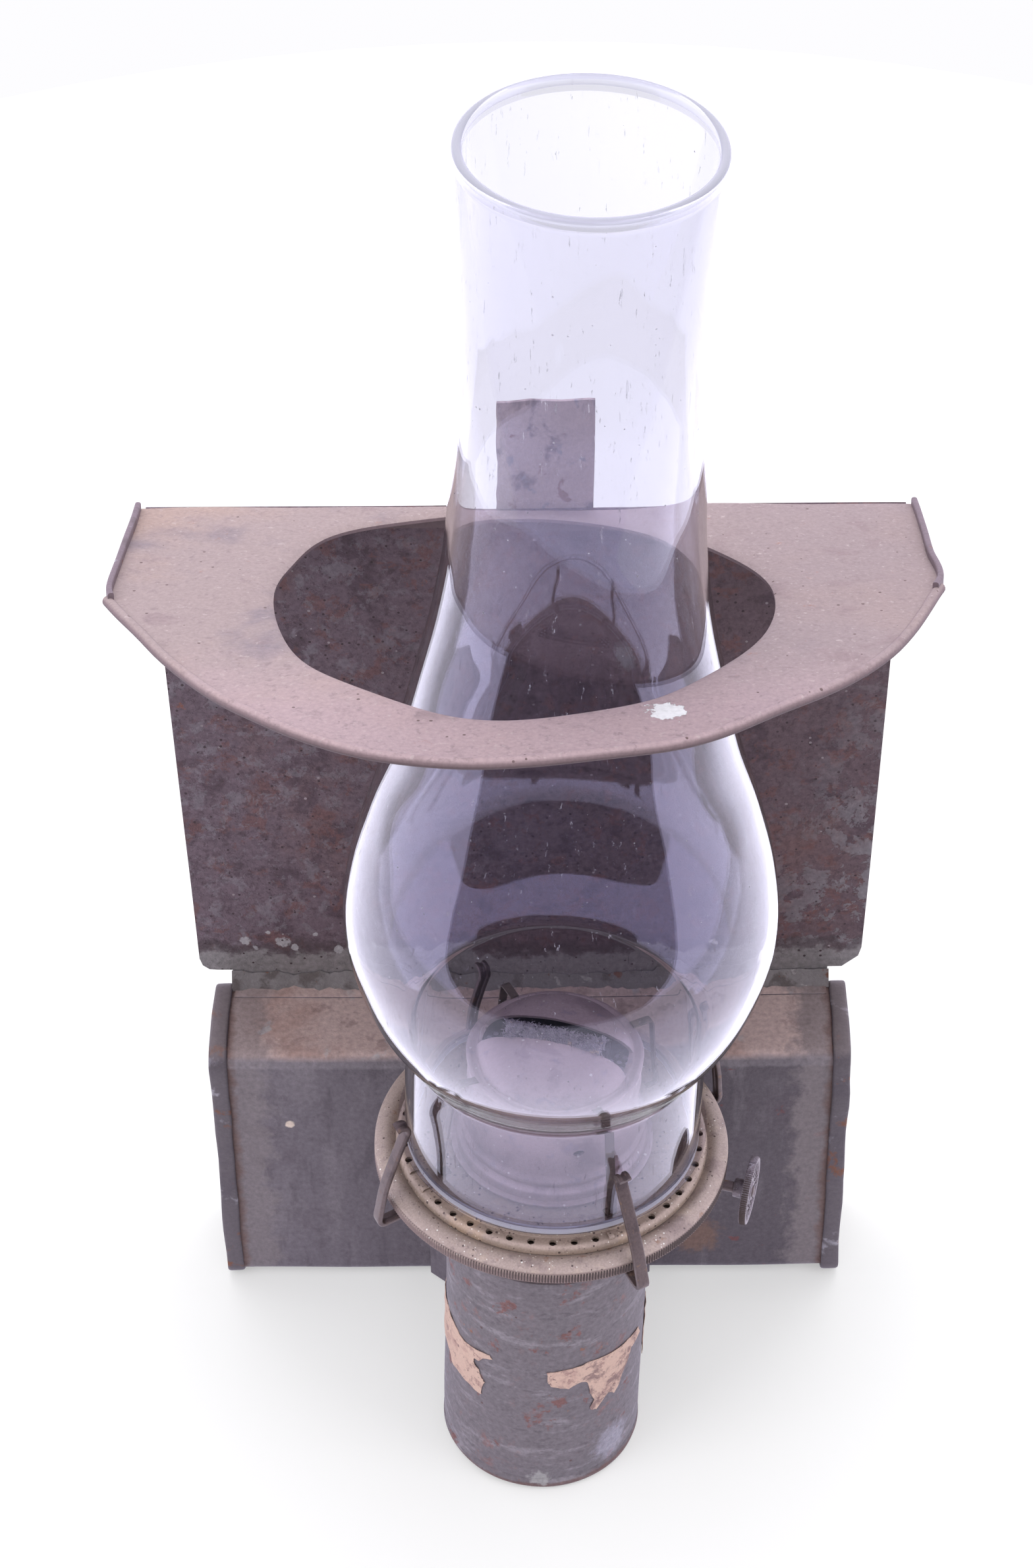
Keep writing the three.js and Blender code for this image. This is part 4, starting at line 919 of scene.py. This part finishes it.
def make_gallery(brass, groove, seat_metal):
    outside = [(47.3, 110.6), (47.75, 110.65), (48, 110.9), (48, 112.2), (48, 113.5), (47.7, 113.7), (47.68, 113.85),
               (47.95, 114.05), (47.95, 114.4), (47.75, 114.75), (47.2, 115.15), (46.5, 115.55), (45.6, 115.95),
               (44.8, 116.15), (44, 116.15), (43.3, 115.85), (42.8, 115.45), (42.3, 115.2), (41, 115.1),
               (38, 115.1)]
    inside = [(38, 114.45), (42, 114.3), (43.4, 114.9), (44.7, 115.4), (46, 114.9), (46.9, 114), (47.3, 113),
              (47.3, 111.2)]
    knurl = turned(outside + inside, 768, teeth=384, bite=0.32, toothed=(2, 3, 4))
    burner_piece("gallery_flange", knurl, [brass, groove], ["gallery"])
    seat = [(42.25, 115.5), (42.2, 116.2), (42.0, 116.9), (41.6, 117.5), (41, 117.85), (40.2, 117.95),
            (39.2, 117.95), (38.6, 118.1), (38.3, 118.6), (38.2, 119.4), (38, 119.95), (37.4, 120.2), (36, 120.2),
            (35.3, 119.9), (34.9, 119.2), (34.7, 118.4), (34.2, 117.95), (33.4, 117.9), (24.5, 117.9),
            (24.5, 117.2), (34, 117.2), (35.3, 119), (37.5, 119.2), (38.3, 117.1), (41, 117), (41.4, 115.5)]
    plate = burner_piece("seat_plate", turned(seat, 176), seat_metal, ["seat_ring"])
    spring_angles = [angle for angle, _, _ in SPRINGS.values()]
    pierced(plate, [along_ring(bore(0.98, 116, 119, 20), SEAT_HOLES, angle)
                    for angle in (360 * i / 44 for i in range(44))
                    if all(apart(angle, spring) > 7.5 for spring in spring_angles)])
    bridge = [(-1.25, 0, 117.6), (-1.15, 0, 118.15), (-0.75, 0, 118.5), (0.75, 0, 118.5), (1.15, 0, 118.15),
              (1.25, 0, 117.6)]
    strap = eased([(-0.8, -0.15), (0.8, -0.15), (0.8, 0.15), (-0.8, 0.15)], 0.12, 2)
    lugs = [along_ring(swept(bridge, strap, (0, 1, 0)), SEAT_HOLES, angle + step)
            for angle in spring_angles for step in (-5.2, 5.0)]
    burner_piece("seat_lugs", gathered(*lugs), seat_metal, crease=60)


def make_cap(brass, soot, pale):
    wall = [(27.4, 118.6), (27.4, 119.1), (26.9, 119.3), (25.9, 119.4), (25.8, 121.3), (25.4, 121.9), (24.6, 122.8),
            (24.45, 123.4), (24.8, 124.1), (24.9, 124.7), (24.6, 125.4), (24.1, 126.4), (23.9, 127.4),
            (23.9, 145.6), (23.2, 145.6), (23.2, 127.5), (24.1, 124.7), (23.9, 122.6), (25.1, 121), (25.2, 118.6)]
    shell = burner_piece("draft_wall", turned(wall, 144), brass, ["draft_shell"])
    oval = moved(bore(1, -4, 4, 20), turn(90, "Y") @ Matrix.Diagonal((1, 1.5, 1, 1)))
    pierced(shell, [along_ring(oval, 24, -74.4, 135.1)])
    outer = flowing([(21.3, 148.3), (20.9, 149.1), (19.7, 150.9), (17.4, 152.8), (13.2, 154.75), (7.5, 156.1),
                     (2.4, 156.75), (0, 156.8)], 4)
    rim = [(24.2, 146.1), (24.3, 146.9), (24.15, 147.4), (23.6, 147.75), (22.9, 147.8), (22.3, 147.6), (21.8, 147.6),
           (21.45, 147.8)]
    inner = [(p.x * 0.965, p.y - 0.75) for p in outer]
    cap = burner_piece("wick_cap", turned(rim + outer + inner[::-1] + [(23.3, 146.6), (23.3, 146.1)], 144), brass,
                       ["dome"])
    slot = netted([(-30, -4.4), (30, -4.4), (30, 4.4), (-30, 4.4)], 30)
    tool = thickened(slot, lambda p: p + Vector((0, 0, 20)))
    pierced(cap, [moved(tool, WICK_TURN @ shift(0, 0, 148.6))])
    edge = [(0, 143.5), (22.7, 143.5), (22.8, 143.3), (22.8, 142.9), (22.6, 142.7), (0, 142.7)]
    disc = burner_piece("wick_disc", turned(edge, 96, False), soot, ["inner_diffuser"])
    pierced(disc, [moved(bar((-14.9, -2.6, 140), (14.9, 2.6, 146)), WICK_TURN)])
    holes, plugs = [], []
    for x in (15.9, 18.3, 20.7):
        for row, y in enumerate((-6.6, -4.4, -2.2, 0, 2.2, 4.4, 6.6)):
            for side in (-1, 1):
                if hypot(x, y) < 21.6:
                    place = WICK_TURN @ shift(side * (x - 1.2 * (row % 2)), y)
                    holes.append(moved(bore(0.78, 141, 146, 16), place))
                    plugs.append(moved(bore(0.76, 142.9, 143.45, 16), place))
    pierced(disc, holes)
    burner_piece("lint_plugs", gathered(*plugs), pale)


def make_wick(cotton):
    chance = random.Random(11)
    tape = bar((-WICK_HALF, -1.2, 25.2), (WICK_HALF, 1.2, 155.2))
    heart = 154.9
    crown = []
    for i in range(60):
        x = -WICK_HALF + 2 * WICK_HALF * i / 59
        end = sqrt(max(0.05, 1 - (abs(x) / 13.6) ** 8))
        loop = []
        for k in range(16):
            out, up = cos(2 * pi * k / 16), sin(2 * pi * k / 16)
            lump = 1 + 0.28 * wave(x * 0.55, out * 1.6, up * 1.6)
            loop.append((x, CROWN_SET + 2.6 * out * lump * end, heart + 1.35 * up * lump * end))
        crown.append(loop)
    tufts = []
    for i in range(1500):
        x = chance.uniform(-13.6, 13.6)
        angle = chance.uniform(-0.5, pi + 0.5)
        out = Vector((0, cos(angle), sin(angle)))
        root = Vector((x, CROWN_SET + 2.4 * out.y, heart + 1.2 * out.z))
        lean = (out + Vector((chance.uniform(-1.3, 1.3), chance.uniform(-0.9, 0.4), chance.uniform(-0.7, 0.5)))) * 0.55
        tip = root + lean * chance.uniform(1.2, 2.6)
        tip.z, tip.y = min(tip.z, CROWN_TOP), max(min(tip.y, 2.0), -4.9)
        bend = root.lerp(tip, 0.5) + out * chance.uniform(0.1, 0.4)
        bend.z = min(bend.z, CROWN_TOP)
        width = chance.uniform(0.07, 0.16)
        section = [(width * cos(a), width * sin(a)) for a in (0, 2.1, 4.2)]
        tufts.append(swept(flowing([root, bend, tip], 3), section, (1, 0, 0)))
    form = gathered(tape, tube(crown), *tufts)
    piece("wick_ribbon", moved(form, WICK_TURN), cotton, "wick_tape", ["wick"])


def make_wheel(metal, groove, brass, iron):
    rim = [(1.8, 50.05), (2.5, 50.05), (2.6, 50.2), (2.6, 53.5), (2.9, 53.7), (7.9, 53.7), (8.1, 53.25), (9.2, 53.2),
           (9.5, 53.45), (9.5, 54.2), (9.5, 54.95), (9.2, 55.2), (8.2, 55.15), (7.9, 54.7), (2.7, 54.7), (2.4, 55.1),
           (1.8, 55.1)]
    form = turned(rim, 192, teeth=96, bite=0.3, toothed=(8, 9, 10))
    wheel = piece("thumb_wheel", form, [metal, groove], "wick_raiser", ["side_wheel"], SHAFT)
    dots = 4.3
    pierced(wheel, [along_ring(bore(0.8, 50, 58, 14), dots, 60 * i) for i in range(6)], SHAFT)
    marks = [along_ring(bar((-0.9, -0.28, 54.6), (0.9, 0.28, 55.0)), 6.6, 15 * i) for i in range(24)]
    marks += [along_ring(bore(0.45, 54.6, 54.98, 10), dots, 30 + 60 * i) for i in range(6)]
    piece("wheel_marks", gathered(*marks), metal, "wick_raiser", (), SHAFT)
    rod = eased([(0, -14), (1.5, -14), (1.5, 55.4), (0, 55.8)], 0.3, 2, False)
    piece("raiser_rod", turned(rod, 40, False), iron, "wick_raiser", ["wick_shaft"], SHAFT)
    bush = eased([(1.8, 37.6), (3.1, 37.6), (3.1, 46.6), (1.8, 46.6)], 0.4, 2)
    burner_piece("rod_bush", turned(bush, 48), brass, ["shaft_bush"], SHAFT)


def splayed(line, root, angle):
    """A line of radius and height turned outwards about its root."""
    c, s = cos(radians(angle)), sin(radians(angle))
    return [(root[0] + (r - root[0]) * c + (z - root[1]) * s, root[1] - (r - root[0]) * s + (z - root[1]) * c)
            for r, z in line]


def standing(line, section):
    """A strip along a line of radius and height, out along X."""
    return swept([(p.x, 0, p.y) for p in line], section, (0, 1, 0))


def make_springs(iron, brass):
    grooved = eased([(-1.75, -0.7), (1.75, -0.7), (1.75, 0.75), (0.6, 0.75), (0.35, 0.3), (-0.35, 0.3), (-0.6, 0.75),
                     (-1.75, 0.75)], 0.62, 4)
    flat = eased([(-1.3, -0.3), (1.3, -0.3), (1.3, 0.3), (-1.3, 0.3)], 0.25, 2)
    root, foot = (45.2, 107.6), 108
    bent = [(51.2, 107.6), (52.1, 109.2), (51.4, 112.6), (49.1, 121.2), (44.9, 131.5), (41.9, 138.2), (41.0, 140.2),
            (41.3, 141.8), (42.6, 142.5), (44.0, 142.2)]
    clip = flowing([(30.6, 118.4), (32.7, 118.5), (33.4, 119.4), (33.1, 123), (31.4, 134), (30, 145), (29.5, 147.3),
                    (28.6, 148), (26, 148.05), (23.6, 148)], 5)
    for corner, (angle, splay, lean) in SPRINGS.items():
        line = flowing([root, (48.7, 107.1), *splayed(bent, root, splay)], 7)
        leaning = turn(angle) @ (shift(0, 0, foot) @ turn(-lean, "X")) @ shift(0, 0, -foot)
        piece(f"glass_spring_{corner}", moved(standing(line, grooved), leaning), iron,
              f"spring_{corner}", [f"prong_{corner}"], BURNER, 50)
        burner_piece(f"cap_clip_{corner}", moved(standing(clip, flat), turn(angle)), brass,
                     [f"dome_spring_{corner}"], crease=50)


# ---- glass

def make_glass(glass, ground, lit_lip):
    outer = flowing([(39.8, 121), (39.8, 122), (39.8, 123), (39.8, 124), (39.8, 135), (39.8, 150), (39.85, 156),
                     (40.1, 158.2), (41.3, 160.8), (43.9, 164.5), (49.8, 175.1), (54.0, 188), (55.75, 202),
                     (53.8, 218.1), (49.2, 236), (43, 256.1), (38, 278), (33.6, 300), (30.8, 322), (30.1, 345),
                     (30, 380), (30, 410), (30, 424.5)], 6)
    inner = []
    for i, p in enumerate(outer):
        run = outer[min(i + 1, len(outer) - 1)] - outer[max(i - 1, 0)]
        inner.append(Vector((p.x - GLASS_WALL * run.y / run.length, p.y + GLASS_WALL * run.x / run.length)))
    lip = [(30.25, 425.8), (30.4, 426.7), (30.1, 427.4), (29.4, 427.7), (28.6, 427.5), (28.05, 426.8),
           (28.05, 425.6)]
    foot = [(37.6, 121.1), (37.8, 120.6), (38.3, 120.5), (39.3, 120.5), (39.65, 120.65)]
    profile = outer + lip + inner[::-1] + foot
    points, faces, _ = turned(profile, 160)
    width = len(profile)
    middles = [(profile[k][1] + profile[(k + 1) % width][1]) / 2 for k in range(width)]
    tags = [1 if middle < 122.9 else 2 if middle > 425.5 else 0 for middle in middles]
    piece("glass_chimney", (points, faces, [tags[k % width] for k in range(len(faces))]), [glass, ground, lit_lip],
          "glass", ["chimney"], BURNER, 80)


# ---- room, light and camera

def rays(n, beyond=0.0):
    """1 for a ray from the camera, from gloss or through glass, and 1 for one of these that was mirrored.

    A ray straight through the glass has turned an even number of times. The world counts one turn beyond the surfaces.
    """
    path = n.add("LightPath").outputs
    seen = n.plus(path["Is Camera Ray"], path["Is Glossy Ray"])
    seen = n.add("Math", {0: seen, 1: path["Is Transmission Ray"]}, operation="ADD", use_clamp=True).outputs[0]
    odd = n.maths("MODULO", n.plus(path["Ray Depth"], beyond), 2.0)
    return seen, n.times(odd, seen)


def make_floor():
    mesh = bpy.data.meshes.new("floor")
    rim = [(x, y + FLOOR_MIDDLE, z) for x, y, z in ring(FLOOR_RADIUS, 96, -0.0004)]
    mesh.from_pydata(rim, [], [tuple(range(96))])
    floor = bpy.data.objects.new("floor", mesh)
    bpy.context.scene.collection.objects.link(floor)
    material = bpy.data.materials.new("pale floor")
    material.use_nodes = True
    n = Nodes(material.node_tree)
    shader = n.tree.nodes["Principled BSDF"]
    shader.inputs["Base Color"].default_value = (FLOOR_SHADE, FLOOR_SHADE, FLOOR_SHADE * 1.01, 1)
    shader.inputs["Roughness"].default_value = 1.0
    shader.inputs["Specular IOR Level"].default_value = 0.0
    seen, mirrored = rays(n)
    away = n.away((0.0, FLOOR_MIDDLE, 0.0))
    glow = n.ranged(away, 0.3, FLOOR_RADIUS, FLOOR_GLOW, FLOOR_GLOW + 0.02)
    near = n.ranged(away, 0.46, 0.56, MIRRORED - 1.1, 0.0)
    glow = n.plus(glow, n.times(mirrored, near))
    n.tree.links.new(n.mix(mirrored, (1, 1, 1, 1), COOL), shader.inputs["Emission Color"])
    n.tree.links.new(n.times(seen, glow), shader.inputs["Emission Strength"])
    floor.data.materials.append(material)


def make_world():
    """White where the camera sees it; glass and metal mirror bright soft walls, and a dark room before the table."""
    world = bpy.data.worlds.new("studio")
    bpy.context.scene.world = world
    world.use_nodes = True
    n = Nodes(world.node_tree)
    background = n.tree.nodes["Background"]
    seen, mirrored = rays(n, 1.0)
    n.tree.links.new(n.mix(mirrored, (0.985, 0.98, 1.0, 1), COOL), background.inputs["Color"])
    x, y, z = n.add("SeparateXYZ", {0: n.add("TexCoord").outputs["Generated"]}).outputs
    wide = n.maths("POWER", n.maths("DIVIDE", n.maths("ABSOLUTE", x), 0.84), 4.0)
    tall = n.maths("POWER", n.maths("DIVIDE", n.maths("ABSOLUTE", n.plus(z, 0.1)), 0.37), 4.0)
    gap = n.times(n.maths("LESS_THAN", n.plus(wide, tall), 1.0), n.maths("LESS_THAN", y, 0.0))
    walls = n.ranged(z, -0.56, -0.5, 1.0, MIRRORED)
    level = n.blend(mirrored, n.blend(seen, 0.85, 1.0), walls)
    n.tree.links.new(n.blend(n.times(gap, mirrored), level, 0.1), background.inputs["Strength"])


def make_lamp(name, place, size, power):
    light = bpy.data.lights.new(name, "AREA")
    light.shape, light.size, light.size_y, light.energy = "RECTANGLE", size[0], size[1], power
    lamp = bpy.data.objects.new(name, light)
    lamp.location = place
    lamp.rotation_euler = (Vector((0, 0, 0.15)) - Vector(place)).to_track_quat("-Z", "Y").to_euler()
    lamp.visible_glossy = lamp.visible_transmission = False
    bpy.context.scene.collection.objects.link(lamp)


def make_camera():
    """The photo's camera, as it was solved from the lamp's edges."""
    camera = bpy.data.cameras.new("view")
    photo_height, focal_pixels = 2380, 5675.72
    camera.lens, camera.sensor_width = 36 * focal_pixels / photo_height, 36
    yaw, pitch, roll = -0.0101989, 0.7231547, -0.0123470
    ahead = Vector((sin(yaw) * cos(pitch), cos(yaw) * cos(pitch), -sin(pitch)))
    right = Vector((cos(yaw), -sin(yaw), 0))
    up = right.cross(ahead)
    right, up = right * cos(roll) + up * sin(roll), up * cos(roll) - right * sin(roll)
    view = bpy.data.objects.new("view", camera)
    view.matrix_world = Matrix((right, up, -ahead)).transposed().to_4x4()
    view.location = (0.004679, -0.706223, 0.85907)
    bpy.context.scene.collection.objects.link(view)
    bpy.context.scene.camera = view


def dress(node, material):
    """Gives a CAD node that stays its finish."""
    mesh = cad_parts[node].data
    mesh.materials.clear()
    mesh.materials.append(material)


def main():
    brass, groove, seat_metal, cap_metal = gallery_brass(), dirty_groove(), seat_brass(), inner_brass()
    can_metal, tank_metal, iron, clip_metal, soot = can_tin(), tank_tin(), spring_iron(), clip_brass(), lamp_soot()
    make_tank(tank_metal, cap_tin())
    make_plate(back_plate_tin(), hem_tin("hanging tab tin", (190, 172, 170)), solder_metal())
    make_hood(hood_tin(), hood_under_tin(), hem_tin("hood rim tin", (126, 110, 116)))
    make_can(can_metal, aged_paper(), brass)
    make_basket(brass)
    make_gallery(brass, groove, seat_metal)
    make_cap(cap_metal, soot, pale_lint())
    make_wick(charred_cotton())
    make_wheel(wheel_metal(), groove, brass, iron)
    make_springs(iron, clip_metal)
    # The lip's finish is pale and half clear: painted light, standing in for the bright band that the rim of the glass
    # catches.
    make_glass(clear_glass("chimney glass", 0.0), clear_glass("ground glass foot", 0.35, (232, 232, 240), 0.25),
               clear_glass("melted glass lip", 0.05, (226, 226, 240), 0.5))
    for node, material in (("can_bottom", can_metal), ("can_top", can_metal), ("feed_duct", tank_metal),
                           ("burner_base", clip_metal), ("shaft_cradle", clip_metal),
                           ("sprocket_inner", clip_metal), ("sprocket_outer", clip_metal), ("wick_tube", soot)):
        dress(node, material)
    make_floor()
    make_world()
    make_lamp("overhead", (0, 0.5, 1.3), (1.2, 0.8), 7)
    make_lamp("left_front", (-0.9, -0.6, 0.95), (0.7, 0.9), 4.5)
    make_lamp("right_front", (1.0, -0.5, 0.9), (0.6, 0.9), 3)
    make_camera()
    bpy.context.scene.view_settings.view_transform = "Standard"
    bpy.context.view_layer.update()


main()
